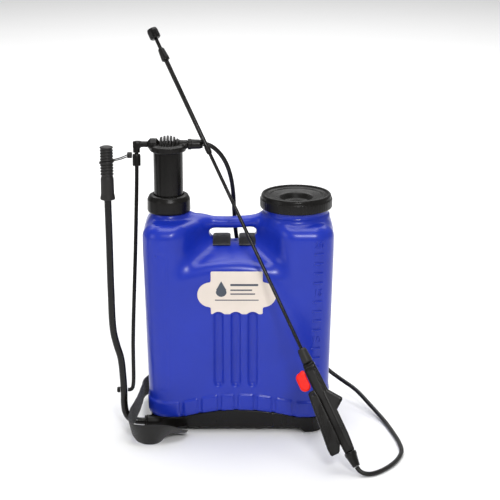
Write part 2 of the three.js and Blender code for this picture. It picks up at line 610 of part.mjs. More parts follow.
// ---------------------------------------------------------------- hose
// The hose leaves the pump's nut, drops behind the tank in the hollow between the straps and the
// back wall, comes round the right corner to the floor and curls back into the lance's tail.
const HOSE_ROUTE = [
  [-70.5, 0, 588], [-64, 0, 587.9], [-54, 0.4, 584], [-42, 2, 574], [-31, 6, 559], [-21.5, 13, 538], [-15, 23, 512],
  [-11, 38, 478], [-9.5, 52, 444], [-8.5, 62, 418], [-7, 73, 392], [-5, 82, 372], [-1, 86, 350],
  [6, 86.5, 322], [24, 87, 284], [48, 88, 245], [76, 91.5, 205], [104, 95.5, 168], [132, 100, 133],
  [160, 104, 99], [181, 105, 74], [201, 100, 57], [224, 87, 44], [251, 60, 33], [279, 12, 18],
  [303, -42, 7], [317, -100, 4.7], [325, -150, 4.7], [325.5, -192, 4.7], [312, -232, 4.7],
  [291, -264, 4.7], [271, -284, 4.7], [255, -293, 4.9], [242, -294.5, 7.3], [234, -291.4, 11.2], [229.2, -287.3, 17.3],
];

function addHose(body) {
  addPart(body, 'supply_hose', 'hoseRubber', sweep(HOSE_ROUTE, HOSE_RADIUS, 10, 20));
}

// ---------------------------------------------------------------- assembly
const sprayer = new THREE.Group();
const tankFrame = new THREE.Group();
tankFrame.position.set(...FRAME_SHIFT);
sprayer.add(tankFrame);
addTank(tankFrame);
addPump(tankFrame);
addAirChamber(tankFrame);
addLink(tankFrame);
addLever(tankFrame);
addFiller(tankFrame);
addStraps(tankFrame);
addLance(tankFrame);
addHose(tankFrame);

export default sprayer;
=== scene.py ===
import json
import math

import bpy
import numpy as np
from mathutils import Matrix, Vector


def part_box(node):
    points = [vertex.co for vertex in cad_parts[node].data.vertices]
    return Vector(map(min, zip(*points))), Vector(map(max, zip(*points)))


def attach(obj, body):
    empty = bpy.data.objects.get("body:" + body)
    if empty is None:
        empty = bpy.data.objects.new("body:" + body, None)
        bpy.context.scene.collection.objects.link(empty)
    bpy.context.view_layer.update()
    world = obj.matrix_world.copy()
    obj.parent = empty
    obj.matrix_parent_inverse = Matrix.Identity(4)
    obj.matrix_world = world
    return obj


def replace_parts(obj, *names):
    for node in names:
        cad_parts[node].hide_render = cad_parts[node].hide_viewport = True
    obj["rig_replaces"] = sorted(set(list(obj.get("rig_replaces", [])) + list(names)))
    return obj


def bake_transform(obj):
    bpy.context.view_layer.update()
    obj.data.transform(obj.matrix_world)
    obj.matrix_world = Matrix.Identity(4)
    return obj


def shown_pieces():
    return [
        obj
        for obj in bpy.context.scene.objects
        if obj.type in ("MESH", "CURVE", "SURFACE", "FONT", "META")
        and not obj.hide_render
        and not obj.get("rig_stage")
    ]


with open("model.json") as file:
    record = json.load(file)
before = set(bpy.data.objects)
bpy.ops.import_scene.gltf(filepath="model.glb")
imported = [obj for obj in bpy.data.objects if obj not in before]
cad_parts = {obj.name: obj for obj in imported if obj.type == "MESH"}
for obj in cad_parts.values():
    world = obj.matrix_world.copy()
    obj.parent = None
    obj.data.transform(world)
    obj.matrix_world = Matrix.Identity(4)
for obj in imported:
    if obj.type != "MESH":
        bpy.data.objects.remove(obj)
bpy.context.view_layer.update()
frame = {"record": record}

bl_info = {
    "name": "Backpack Sprayer",
    "version": (1, 0, 0),
    "blender": (4, 5, 0),
    "location": "View3D > Sidebar > Sprayer",
    "description": "Builds the finished surfaces of a knapsack sprayer around its frame",
    "category": "Add Mesh",
}

# The tank frame: millimetres from the middle of the tank at floor level, as every shape below.
TANK_LOW, TANK_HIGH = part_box("tank_shell")
MIDDLE = np.array([(TANK_LOW[0] + TANK_HIGH[0]) / 2, (TANK_LOW[1] + TANK_HIGH[1]) / 2, 0.0])
MM = 0.001

PUMP_X = -141.0
FILLER_X = 117.0
LINK_PIVOT_Z = 588.0
LEVER_Y = -74.0
AXLE_Z = 19.0
CRANK = 70.0
GRIP_X = -257.0
TANK_DEPTH = 92.0
LITRE = 20.0                                # height of one litre in the tank

VIEWPOINT = (23.5, -2800.0, 1225.0)
VIEW_DOWN = 17.05                           # degrees below level
SENSOR = 36.0
FOCAL_RATIO = 2.86                          # focal length over the sensor's width

LANCE_TAIL = np.array([228.8, -287.0, 18.0])
LANCE_TIP = np.array([-175.0, 84.0, 806.0])
LANCE_LENGTH = float(np.linalg.norm(LANCE_TIP - LANCE_TAIL))

HOSE_ROUTE = [
    (-70.5, 0, 588), (-64, 0, 587.9), (-54, 0.4, 584), (-42, 2, 574), (-31, 6, 559), (-21.5, 13, 538),
    (-15, 23, 512), (-11, 38, 478), (-9.5, 52, 444), (-8.5, 62, 418), (-7, 73, 392), (-5, 82, 372),
    (-1, 86, 350), (6, 86.5, 322), (24, 87, 284), (48, 88, 245), (76, 91.5, 205), (104, 95.5, 168),
    (132, 100, 133), (160, 104, 99), (181, 105, 74), (201, 100, 57), (224, 87, 44), (251, 60, 33),
    (279, 12, 18), (303, -42, 7), (317, -100, 4.7), (325, -150, 4.7), (325.5, -192, 4.7),
    (312, -232, 4.7), (291, -264, 4.7), (271, -284, 4.7), (255, -293, 4.9), (242, -294.5, 7.3),
    (234, -291.4, 11.2), (229.2, -287.3, 17.3),
]


def place(points):
    """Millimetres in the tank frame become metres in the object's frame."""
    return MIDDLE + np.asarray(points, dtype=float) * MM


# ------------------------------------------------------------------ mesh helpers
def signed_volume(points, triangles):
    """Sum of a . (b x c) / 6 over the triangles: positive when the faces point outwards."""
    a, b, c = (points[triangles[:, i]] for i in range(3))
    return float(np.einsum("ij,ij->i", a, np.cross(b, c)).sum()) / 6


def split(faces):
    """Each four-cornered face as two triangles."""
    return np.vstack([faces[:, [0, 1, 2]], faces[:, [0, 2, 3]]]) if len(faces) else np.zeros((0, 3), int)


def make_mesh(name, points, quads, triangles=(), uv=None):
    """A mesh object from whole arrays, with its faces turned outwards if they point in."""
    points = np.asarray(points, dtype=float)
    quads = np.asarray(quads, dtype=int).reshape(-1, 4)
    triangles = np.asarray(triangles, dtype=int).reshape(-1, 3)
    if signed_volume(points, np.vstack([split(quads), triangles])) < 0:
        quads, triangles = quads[:, ::-1], triangles[:, ::-1]
    mesh = bpy.data.meshes.new(name)
    mesh.vertices.add(len(points))
    mesh.vertices.foreach_set("co", points.ravel())
    corners = np.concatenate([quads.ravel(), triangles.ravel()])
    totals = np.concatenate([np.full(len(quads), 4), np.full(len(triangles), 3)])
    mesh.loops.add(len(corners))
    mesh.loops.foreach_set("vertex_index", corners)
    mesh.polygons.add(len(totals))
    mesh.polygons.foreach_set("loop_start", np.concatenate([[0], np.cumsum(totals)[:-1]]))
    mesh.polygons.foreach_set("use_smooth", np.full(len(totals), True))
    if uv is not None:
        layer = mesh.uv_layers.new(name="UVMap")
        layer.data.foreach_set("uv", np.asarray(uv)[corners].ravel())
    mesh.update(calc_edges=True)
    mesh.validate()
    piece = bpy.data.objects.new(name, mesh)
    bpy.context.scene.collection.objects.link(piece)
    return piece


def finish(piece, body, slot, node=None, look=None):
    """The piece rides its body, takes its node's place, and wears its slot's finish or another."""
    piece.data.materials.append(Finishes.get(look or slot))
    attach(piece, body)
    if node:
        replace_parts(piece, node)


def grid_quads(rows, columns, wrap_rows, wrap_columns):
    """Four-cornered faces over a rows x columns grid of points, closed on itself where wrapped."""
    i = np.arange(rows if wrap_rows else rows - 1)
    j = np.arange(columns if wrap_columns else columns - 1)
    i, j = (a.ravel() for a in np.meshgrid(i, j, indexing="ij"))
    i2, j2 = (i + 1) % rows, (j + 1) % columns
    return np.stack([i * columns + j, i2 * columns + j, i2 * columns + j2, i * columns + j2], axis=1)


def rounded(points, radius, steps, closed):
    """A polygon whose corners are cut back by up to the radius and bridged by quadratic arcs:
    p(t) = (1-t)^2 a + 2 t (1-t) corner + t^2 b. Corners on the axis stay sharp."""
    points = np.asarray(points, dtype=float)
    count = len(points)
    t = np.linspace(0, 1, steps + 1)[:, None]
    out = []
    for i, corner in enumerate(points):
        if not closed and i in (0, count - 1):
            out.append(corner[None])
            continue
        before, after = points[i - 1] - corner, points[(i + 1) % count] - corner
        lengths = [np.linalg.norm(before), np.linalg.norm(after)]
        cut = min(radius, 0.45 * min(lengths))
        a, b = corner + before / lengths[0] * cut, corner + after / lengths[1] * cut
        out.append((1 - t) ** 2 * a + 2 * t * (1 - t) * corner + t ** 2 * b)
    return np.vstack(out)


def basis_along(axis):
    """Three unit vectors, the last of them along the axis."""
    axis = np.asarray(axis, dtype=float) / np.linalg.norm(axis)
    helper = np.array([0.0, 0.0, 1.0]) if abs(axis[2]) < 0.9 else np.array([1.0, 0.0, 0.0])
    side = np.cross(helper, axis)
    side /= np.linalg.norm(side)
    return np.stack([side, np.cross(axis, side), axis])


def turned(name, profile, at, axis=(0, 0, 1), segments=96, radius=1.0, wave=None, steps=4):
    """A profile of (radius, height) turned about an axis through "at": the point at angle t is
    at + r cos t side + r sin t up + h axis. A profile starts and ends on the axis, or is a ring.
    wave(t, h) scales the radius, for ribs."""
    profile = np.asarray(profile, dtype=float)
    solid = profile[0, 0] == 0
    profile = rounded(profile, radius, steps, closed=not solid)
    r, h = profile[:, 0], profile[:, 1]
    if solid:
        r, h = r[1:-1], h[1:-1]
    t = np.linspace(0, 2 * math.pi, segments, endpoint=False)
    rr = np.broadcast_to(r[:, None], (len(r), segments))
    hh = np.broadcast_to(h[:, None], rr.shape)
    tt = np.broadcast_to(t[None], rr.shape)
    if wave is not None:
        rr = rr * wave(tt, hh)
    frame3 = basis_along(axis)
    local = np.stack([rr * np.cos(tt), rr * np.sin(tt), hh], axis=-1).reshape(-1, 3)
    quads = grid_quads(len(r), segments, not solid, True)
    triangles = []
    if solid:
        local = np.vstack([local, [[0, 0, profile[0, 1]], [0, 0, profile[-1, 1]]]])
        first, last = len(local) - 2, len(local) - 1
        j = np.arange(segments)
        j2 = (j + 1) % segments
        end = (len(r) - 1) * segments
        triangles = np.vstack([
            np.stack([np.full(segments, first), j, j2], axis=1),
            np.stack([np.full(segments, last), end + j2, end + j], axis=1),
        ])
    uv = np.stack([np.arctan2(local[:, 1], local[:, 0]), local[:, 2]], axis=1) * 0.01
    return make_mesh(name, place(np.asarray(at) + local @ frame3), quads, triangles, uv)


def through(points, spacing):
    """A smooth line through points: centripetal Catmull-Rom, sampled about every spacing."""
    p = np.asarray(points, dtype=float)
    p = np.vstack([2 * p[0] - p[1], p, 2 * p[-1] - p[-2]])
    out = []
    for a, b, c, d in zip(p[:-3], p[1:-2], p[2:-1], p[3:]):
        knots = np.cumsum([0] + [max(np.linalg.norm(v), 1e-6) ** 0.5 for v in (b - a, c - b, d - c)])
        count = max(2, int(np.ceil(np.linalg.norm(c - b) / spacing)))
        t = np.linspace(knots[1], knots[2], count, endpoint=False)[:, None]

        def mix(u, v, i, j):
            return ((knots[j] - t) * u + (t - knots[i]) * v) / (knots[j] - knots[i])

        ab, bc, cd = mix(a, b, 0, 1), mix(b, c, 1, 2), mix(c, d, 2, 3)
        out.append(mix(mix(ab, bc, 0, 2), mix(bc, cd, 1, 3), 1, 2))
    return np.vstack(out + [p[-2][None]])


def frames_along(path, across=None):
    """Unit tangent, side and up vectors along a path. The side is the given direction squared to
    the tangent, or else it is carried along the path without twist."""
    tangent = np.gradient(path, axis=0)
    tangent /= np.linalg.norm(tangent, axis=1)[:, None]
    if across is None:
        side = np.empty_like(path)
        current = basis_along(tangent[0])[0]
        for i, t in enumerate(tangent):
            current = current - t * current.dot(t)
            current = current / np.linalg.norm(current)
            side[i] = current
    else:
        side = across - tangent * np.einsum("ij,ij->i", across, tangent)[:, None]
        side /= np.linalg.norm(side, axis=1)[:, None]
    return tangent, side, np.cross(tangent, side)


def swept(name, path, section, across=None, thicken=1.0):
    """A closed section carried along a path: p(s, k) = path(s) + x_k side(s) + y_k up(s). The ends
    are closed by fans. The UV map holds metres along the path and round the section."""
    path = np.asarray(path, dtype=float)
    section = np.asarray(section, dtype=float)
    _, side, up = frames_along(path, across)
    up = up * np.broadcast_to(thicken, len(path))[:, None]
    points = path[:, None] + section[None, :, :1] * side[:, None] + section[None, :, 1:] * up[:, None]
    rows, columns = points.shape[:2]
    points = np.vstack([points.reshape(-1, 3), path[:1], path[-1:]])
    j = np.arange(columns)
    j2 = (j + 1) % columns
    end = (rows - 1) * columns
    fans = np.vstack([
        np.stack([np.full(columns, len(points) - 2), j2, j], axis=1),
        np.stack([np.full(columns, len(points) - 1), end + j, end + j2], axis=1),
    ])
    along = np.concatenate([[0], np.cumsum(np.linalg.norm(np.diff(path, axis=0), axis=1))])
    edge = np.linalg.norm(section - np.roll(section, 1, axis=0), axis=1)
    round_it = np.cumsum(edge) - edge[0]
    uv = np.stack(np.meshgrid(along, round_it, indexing="ij"), axis=-1).reshape(-1, 2)
    uv = np.vstack([uv, [[0, 0], [along[-1], 0]]]) * MM
    quads = grid_quads(rows, columns, False, True)
    return make_mesh(name, place(points), quads, fans, uv)


def circle(radius, sides):
    t = np.linspace(0, 2 * math.pi, sides, endpoint=False)
    return np.stack([radius * np.cos(t), radius * np.sin(t)], axis=1)


def flat_section(width, thickness, bulge=0.0, sides=28):
    """A flat band's section: a rounded bar, thicker in the middle by the bulge."""
    t = np.linspace(0, 2 * math.pi, sides, endpoint=False)
    x = width / 2 * np.sign(np.cos(t)) * np.abs(np.cos(t)) ** 0.35
    y = thickness / 2 * np.sign(np.sin(t)) * np.abs(np.sin(t)) ** 0.6
    return np.stack([x, y * (1 + bulge * (1 - (2 * x / width) ** 2))], axis=1)


# ------------------------------------------------------------------ shapes given by a distance
def smooth_min(a, b, k):
    """The smaller of two distances, with the crease filled by a fillet about k wide."""
    h = np.clip(1 - np.abs(a - b) / k, 0, None)
    return np.minimum(a, b) - h * h * k / 4


def smooth_max(a, b, k):
    return -smooth_min(-a, -b, k)


def round_max(a, b, radius):
    """Where two solids cross, with the edge rounded to a true radius."""
    u, v = a + radius, b + radius
    return np.minimum(np.maximum(u, v), 0) + np.hypot(np.maximum(u, 0), np.maximum(v, 0)) - radius


def round_box(x, y, half_x, half_y, radius):
    return round_max(np.abs(x) - half_x, np.abs(y) - half_y, radius)


def round_bar(a, b, along, radius, half_length):
    """A round bar with square ends: its axis is where a and b are 0."""
    return np.maximum(np.hypot(a, b) - radius, np.abs(along) - half_length)


def polygon_distance(x, y, corners):
    """Distance to a polygon's nearest edge, negative inside it (the even-odd rule)."""
    corners = np.asarray(corners, dtype=float)
    best = np.full(np.shape(x), np.inf)
    inside = np.zeros(np.shape(x), dtype=bool)
    for (ax, ay), (bx, by) in zip(corners, np.roll(corners, -1, axis=0)):
        ex, ey = bx - ax, by - ay
        wx, wy = x - ax, y - ay
        t = np.clip((wx * ex + wy * ey) / (ex * ex + ey * ey), 0, 1)
        best = np.minimum(best, (wx - ex * t) ** 2 + (wy - ey * t) ** 2)
        crosses = (ay > y) != (by > y)
        if ey != 0:
            inside ^= crosses & (x < ex * (y - ay) / ey + ax)
    return np.where(inside, -1, 1) * np.sqrt(best)


def net_points(field, points, step):
    """Newton's steps along the gradient put each point on the surface where the field is 0."""
    start = points.copy()
    h = 0.05 * step
    for _ in range(5):
        x, y, z = points.T
        value = field(x, y, z)
        gradient = np.stack([
            field(x + h, y, z) - field(x - h, y, z),
            field(x, y + h, z) - field(x, y - h, z),
            field(x, y, z + h) - field(x, y, z - h),
        ], axis=1) / (2 * h)
        size = np.maximum((gradient ** 2).sum(axis=1), 0.05)
        points = points - gradient * (value / size)[:, None]
        points = start + np.clip(points - start, -0.9 * step, 0.9 * step)
    return points


def surface_net(field, low, high, step):
    """Points and four-cornered faces of the surface where the field is 0: each grid cell that the
    surface crosses holds one point, and each grid edge that it crosses gives one face."""
    axes = [np.arange(a - 1.5 * step, b + 2 * step, step) for a, b in zip(low, high)]
    inside = field(*np.meshgrid(*axes, indexing="ij")) < 0
    count = np.zeros(tuple(len(a) - 1 for a in axes), dtype=int)
    for i in (0, 1):
        for j in (0, 1):
            for k in (0, 1):
                count += inside[i:len(axes[0]) - 1 + i, j:len(axes[1]) - 1 + j, k:len(axes[2]) - 1 + k]
    active = (count > 0) & (count < 8)
    ids = np.full(active.shape, -1)
    ids[active] = np.arange(active.sum())
    i, j, k = np.nonzero(active)
    centres = np.stack([axes[0][i], axes[1][j], axes[2][k]], axis=1) + step / 2
    quads = []
    for axis in range(3):
        corner = np.moveaxis(inside, axis, 0)
        cells = np.moveaxis(ids, axis, 0)
        i, j, k = np.nonzero(corner[:-1, 1:-1, 1:-1] != corner[1:, 1:-1, 1:-1])
        around = ((0, 0), (1, 0), (1, 1), (0, 1))
        quad = np.stack([cells[i, j + dj, k + dk] for dj, dk in around], axis=1)
        turn = corner[i, j + 1, k + 1] == (axis == 1)
        quads.append(np.where(turn[:, None], quad[:, ::-1], quad))
    return net_points(field, centres, step), np.vstack(quads)


# ------------------------------------------------------------------ materials
def shader(name, colour, roughness, **sockets):
    material = bpy.data.materials.new(name)
    material.use_nodes = True
    nodes = material.node_tree.nodes
    base = nodes["Principled BSDF"]
    base.inputs["Base Color"].default_value = (*colour[:3], 1)
    base.inputs["Roughness"].default_value = roughness
    for socket, value in sockets.items():
        base.inputs[socket.replace("_", " ")].default_value = value
    return material, nodes, material.node_tree.links, base


def mapped(nodes, links, source, scale):
    coordinates = nodes.new("ShaderNodeTexCoord")
    mapping = nodes.new("ShaderNodeMapping")
    mapping.inputs["Scale"].default_value = scale
    links.new(coordinates.outputs[source], mapping.inputs["Vector"])
    return mapping.outputs["Vector"]


def noise(nodes, links, scale, detail=3.0, stretch=(1, 1, 1)):
    texture = nodes.new("ShaderNodeTexNoise")
    texture.inputs["Scale"].default_value = scale
    texture.inputs["Detail"].default_value = detail
    links.new(mapped(nodes, links, "Object", stretch), texture.inputs["Vector"])
    return texture.outputs["Fac"]


def ranged(nodes, links, value, low, high, out_low, out_high):
    node = nodes.new("ShaderNodeMapRange")
    for socket, number in zip(("From Min", "From Max", "To Min", "To Max"), (low, high, out_low, out_high)):
        node.inputs[socket].default_value = number
    links.new(value, node.inputs["Value"])
    return node.outputs["Result"]


def tinted(nodes, links, factor, dark, light):
    ramp = nodes.new("ShaderNodeValToRGB")
    ramp.color_ramp.elements[0].color = (*dark, 1)
    ramp.color_ramp.elements[1].color = (*light, 1)
    links.new(factor, ramp.inputs["Fac"])
    return ramp.outputs["Color"]


def add_bump(nodes, links, base, heights):
    """Chains bump nodes: each height is (value, strength, distance in metres)."""
    normal = None
    for value, strength, distance in heights:
        bump = nodes.new("ShaderNodeBump")
        bump.inputs["Strength"].default_value = strength
        bump.inputs["Distance"].default_value = distance
        links.new(value, bump.inputs["Height"])
        if normal is not None:
            links.new(normal, bump.inputs["Normal"])
        normal = bump.outputs["Normal"]
    links.new(normal, base.inputs["Normal"])


def moulded(name, colour, roughness, grain, ripple, spread, shade, **sockets):
    """Moulded plastic: fine grain, slow ripples in the gloss, scuffs, and a little cloudiness."""
    material, nodes, links, base = shader(name, colour, roughness, **sockets)
    colour = np.array(colour[:3])
    cloud = noise(nodes, links, 9.0, 4.0)
    dark, light = colour * (1 - shade), colour * (1 + shade)
    clouded = tinted(nodes, links, ranged(nodes, links, cloud, 0.35, 0.65, 0, 1), dark, light)
    links.new(clouded, base.inputs["Base Color"])
    scuffs = noise(nodes, links, 60.0, 8.0, (1, 1, 0.12))
    worn = ranged(nodes, links, scuffs, 0.35, 0.75, roughness - spread / 2, roughness + spread)
    links.new(worn, base.inputs["Roughness"])
    add_bump(nodes, links, base, [
        (noise(nodes, links, grain, 2.0), ripple, 0.0002),
        (noise(nodes, links, 14.0, 2.0), 0.25, 0.0006),
    ])
    return material


def woven(name, colour, pitch=0.0016):
    """Webbing: two crossing sets of yarns in the piece's own UV map, raised where they cross."""
    material, nodes, links, base = shader(name, colour, 0.82, Sheen_Weight=0.25, Sheen_Roughness=0.5)
    vector = mapped(nodes, links, "UV", (1, 1, 1))
    heights = []
    for direction, stretch in (("X", 1.0), ("Y", 0.7)):
        wave = nodes.new("ShaderNodeTexWave")
        wave.wave_type = "BANDS"
        wave.bands_direction = direction
        wave.inputs["Scale"].default_value = stretch / pitch / 2
        wave.inputs["Distortion"].default_value = 0.6
        links.new(vector, wave.inputs["Vector"])
        heights.append(wave.outputs["Fac"])
    cross = nodes.new("ShaderNodeMath")
    cross.operation = "MULTIPLY"
    links.new(heights[0], cross.inputs[0])
    links.new(heights[1], cross.inputs[1])
    colour = np.array(colour)
    links.new(tinted(nodes, links, cross.outputs[0], colour * 0.55, colour * 1.7), base.inputs["Base Color"])
    add_bump(nodes, links, base, [
        (cross.outputs[0], 0.7, 0.0006),
        (noise(nodes, links, 2500.0), 0.3, 0.0002),
    ])
    return material


def metal(name, colour, roughness):
    material, nodes, links, base = shader(name, colour, roughness, Metallic=1.0)
    brushed = noise(nodes, links, 300.0, 4.0, (1, 1, 0.05))
    worn = ranged(nodes, links, brushed, 0.3, 0.7, roughness - 0.08, roughness + 0.15)
    links.new(worn, base.inputs["Roughness"])
    add_bump(nodes, links, base, [(brushed, 0.15, 0.0001)])
    return material


class Finishes:
    """The finishes, made once from the colours in the scene's settings."""
    made = {}

    @classmethod
    def get(cls, name):
        if name not in cls.made:
            colours = bpy.context.scene.sprayer_colours
            blue, black, red = tuple(colours.tank), tuple(colours.black), tuple(colours.red)
            grey = tuple(np.array(black) * 2.2)
            recipe = {
                "blue_tank": lambda: moulded("blue_polyethylene", blue, colours.gloss, 500, 0.05, 0.05, 0.05,
                                             Coat_Weight=0.1, Coat_Roughness=0.15, Specular_IOR_Level=0.36),
                "black_plastic": lambda: moulded("black_plastic", black, 0.31, 1100, 0.2, 0.12, 0.3,
                                                 Specular_IOR_Level=0.24),
                "grip": lambda: moulded("grip_rubber", grey, 0.5, 1300, 0.4, 0.12, 0.3,
                                        Specular_IOR_Level=0.4),
                "black_tube": lambda: moulded("coated_tube", black, 0.25, 500, 0.08, 0.1, 0.3,
                                              Specular_IOR_Level=0.3),
                "hose_rubber": lambda: moulded("hose_rubber", black, 0.36, 900, 0.2, 0.12, 0.3,
                                               Specular_IOR_Level=0.3),
                "webbing": lambda: woven("black_webbing", black),
                "pad_fabric": lambda: woven("pad_cloth", grey, 0.0011),
                "red_plastic": lambda: moulded("red_plastic", red, 0.4, 900, 0.12, 0.1, 0.12,
                                               Specular_IOR_Level=0.25),
                "label": lambda: moulded("label_film", tuple(colours.label), 0.45, 400, 0.05, 0.08, 0.04),
                "ink": lambda: moulded("label_ink", (0.06, 0.075, 0.1), 0.5, 400, 0.05, 0.08, 0.1),
                "steel": lambda: metal("plain_steel", (0.55, 0.55, 0.54), 0.32),
                "clear_plastic": lambda: moulded("natural_plastic", (0.6, 0.6, 0.54), 0.4, 700, 0.1, 0.1,
                                                 0.06, Transmission_Weight=0.2),
                "rubber": lambda: moulded("black_rubber", (0.012, 0.012, 0.012), 0.7, 800, 0.3, 0.1, 0.3),
            }
            cls.made[name] = recipe[name]()
        return cls.made[name]


# ------------------------------------------------------------------ tank and base
def back_hollow(x):
    """How far the back wall is hollowed in, 14 mm in the middle and none past 140 mm."""
    return 14 * np.clip(1 - (x / 140) ** 2, 0, None)


def half_width(z):
    return 184 + 8 * np.clip((z - 38) / 348, 0, 1)


def plan_distance(x, y, half_x, half_depth, radius):
    """A rounded rectangle in plan, with the back side hollowed."""
    return round_max(np.abs(x) - half_x, np.where(y > 0, y + back_hollow(x), -y) - half_depth, radius)


def foot_arch(x, low, rise=16.0):
    """A level line at the corners that rises in a low arch between them."""
    return low + rise * smooth_max(1 - (x / 118) ** 2, 0.0, 0.12)


CORNER = 42.0
FLUTES = (-40.0, -5.0, 29.0)
SKIRT_LINES = (-117.0, -79.0, -39.0, -5.0, 35.0, 72.0, 113.0)


def tank_field(x, y, z):
    """The tank: a rounded box that widens upwards, plus a skirt, towers, necks and handle, less
    the saddle round the handle, the flutes, the sight slot and the bores of the necks."""
    plan = plan_distance(x, y, half_width(z), TANK_DEPTH, CORNER)
    low = foot_arch(x, 34) - z
    body = round_max(round_max(plan, z - 438, 27), low, 8)
    skirt = round_max(round_max(plan - 3, z - foot_arch(x, 69, 17), 2.2), low, 8)
    for line in SKIRT_LINES:
        skirt = smooth_max(skirt, np.minimum(4.3 - np.abs(x - line), -y), 1.5)
    body = smooth_min(body, skirt, 2.0)
    depth = np.clip(np.abs(y) - 12, 0, None)
    floor = 388 - 0.3 * depth - 16 * ((x + 12) / 100) ** 2 * np.clip(depth / 40, 0, 1)
    cut = smooth_max(np.abs(x + 12) - 51 - 0.68 * depth, floor - z, 34)
    body = smooth_max(body, -cut, 22)
    rise = np.clip(np.abs(x + 25) / 78, 0, 1) ** 2
    bar = round_bar(y * 0.92, z - 426 - 7 * rise, x + 25, 12, 92)
    body = smooth_min(body, bar, 16)
    pump, filler = np.hypot(x - PUMP_X, y), np.hypot(x - FILLER_X, y)
    body = smooth_min(body, round_max(pump - 38, z - 468, 1.5), 16)
    body = smooth_min(body, round_max(filler - 68.5, z - 447, 3), 12)
    body = smooth_min(body, round_max(filler - 65, z - 472, 1.5), 3)
    body = smooth_max(body, -np.maximum(filler - 59, 380 - z), 1)
    body = smooth_max(body, -np.maximum(pump - 33.6, 430 - z), 1)
    for flute in FLUTES:
        away = np.hypot(x - flute, z - np.clip(z, 113, 254))
        body = smooth_max(body, 10 - np.hypot(away, (y + TANK_DEPTH) * 1.45), 2.0)
    away = np.hypot(x + 155, z - np.clip(z, 103, 374))
    ditch = np.maximum(np.abs(away - 10) - 1.6, np.abs(y + TANK_DEPTH) - 2.4)
    body = smooth_max(body, -np.maximum(away - 10, np.abs(y + TANK_DEPTH) - 1.4), 1.5)
    return smooth_max(body, -ditch, 1.5)


def base_field(x, y, z):
    """The base: an arched tray on four corner feet, hollow underneath, with the axle's boss."""
    plan = plan_distance(x, y, 182.0 - 0.12 * np.clip(30 - z, 0, None), 89, 38)
    top = z - foot_arch(x, 33.6)
    body = round_max(round_max(plan, top, 1.5), -z, 2)
    arch_x = smooth_max(0.75 * (np.abs(x) - 135 + z), z - 12, 6)
    arch_y = smooth_max(0.75 * (np.abs(y) - 56 + z), z - 12, 6)
    body = smooth_max(body, -arch_x, 3)
    body = smooth_max(body, -arch_y, 3)
    hollow = np.maximum(np.maximum(plan + 4, top + 4), -z - 9)
    pads = np.maximum(np.maximum(134 - np.abs(x), 56 - np.abs(y)), z - 8)
    body = np.maximum(body, -np.maximum(hollow, -pads))
    boss = np.hypot(y - LEVER_Y, z - AXLE_Z)
    body = smooth_min(body, np.maximum(boss - 13, np.abs(x + 170) - 20), 4)
    return np.maximum(body, -np.maximum(boss - 9.3, np.abs(x + 170) - 24))


def from_field(name, field, low, high, step, onto=np.asarray):
    """The field's surface as a piece, its points first set onto the tank frame where needed."""
    points, quads = surface_net(field, low, high, step)
    return make_mesh(name, place(onto(points)), quads)


def scale_marks():
    """Raised level marks round the right front corner: a bar at each litre, from 2 to 19, and
    figures at 5, 10, 15 and 20. A point at arc s lies on the corner's circle."""
    pieces = []

    def on_corner(s, z, out):
        angle = np.clip(s, 0, None) / CORNER
        x = half_width(z) - CORNER + np.minimum(s, 0) + (CORNER + out) * np.sin(angle)
        return x, CORNER - TANK_DEPTH - (CORNER + out) * np.cos(angle)

    for litre in range(2, 20):
        if litre % 5 == 0:
            continue
        z = 5 + LITRE * litre
        s = np.linspace(2, 20, 12)
        x, y = on_corner(s, z, 0.3)
        path = np.stack([x, y, np.full_like(x, z)], axis=1)
        up = np.tile([0.0, 0.0, 1.0], (len(s), 1))
        pieces.append(swept(f"mark_{litre}", path, flat_section(4.2, 3.6, 0.3, 14), up))
    for litre in (5, 10, 15, 20):
        words = bpy.data.curves.new("figure", "FONT")
        words.body = str(litre)
        words.size = 19.0
        words.extrude = 0.9
        words.bevel_depth = 0.25
        words.align_x = "CENTER"
        text = bpy.data.objects.new("figure", words)
        bpy.context.scene.collection.objects.link(text)
        bpy.context.view_layer.update()
        mesh = bpy.data.meshes.new_from_object(text.evaluated_get(bpy.context.evaluated_depsgraph_get()))
        flat = np.empty(len(mesh.vertices) * 3)
        mesh.vertices.foreach_get("co", flat)
        flat = flat.reshape(-1, 3)
        across, level = flat[:, 0] + 12, flat[:, 1] + LITRE * litre - 2
        x, y = on_corner(across, level, 0.5)
        turn = np.clip(across, 0, None) / CORNER
        points = np.stack([x + flat[:, 2] * np.sin(turn), y - flat[:, 2] * np.cos(turn), level], axis=1)
        mesh.vertices.foreach_set("co", place(points).ravel())
        mesh.update()
        bpy.data.objects.remove(text)
        figure = bpy.data.objects.new(f"figure_{litre}", mesh)
        bpy.context.scene.collection.objects.link(figure)
        pieces.append(figure)
    return joined("scale_marks", pieces)


def joined(name, pieces):
    """Several closed meshes as one object."""
    bpy.ops.object.select_all(action="DESELECT")
    for piece in pieces:
        piece.select_set(True)
    bpy.context.view_layer.objects.active = pieces[0]
    bpy.ops.object.join()
    whole = bpy.context.view_layer.objects.active
    whole.name = name
    whole.data.name = name
    return whole


LABEL_LOBE = 26.0


def label_distance(x, z):
    """The label's outline: a plate, a round lobe on each side, and three scallops cut below."""
    plate = round_box(x + 3, z - 305, 52, 45, 3)
    lobes = np.minimum(np.hypot(x + 56, z - 301), np.hypot(x - 50, z - 301)) - LABEL_LOBE
    outline = smooth_min(plate, lobes, 5)
    for flute in FLUTES:
        outline = smooth_max(outline, 15 - np.hypot(x - flute, z - 250), 2)
    return outline


def label_field(x, y, z):
    return round_max(label_distance(x, z), np.abs(y + TANK_DEPTH + 0.9) - 0.7, 0.5)


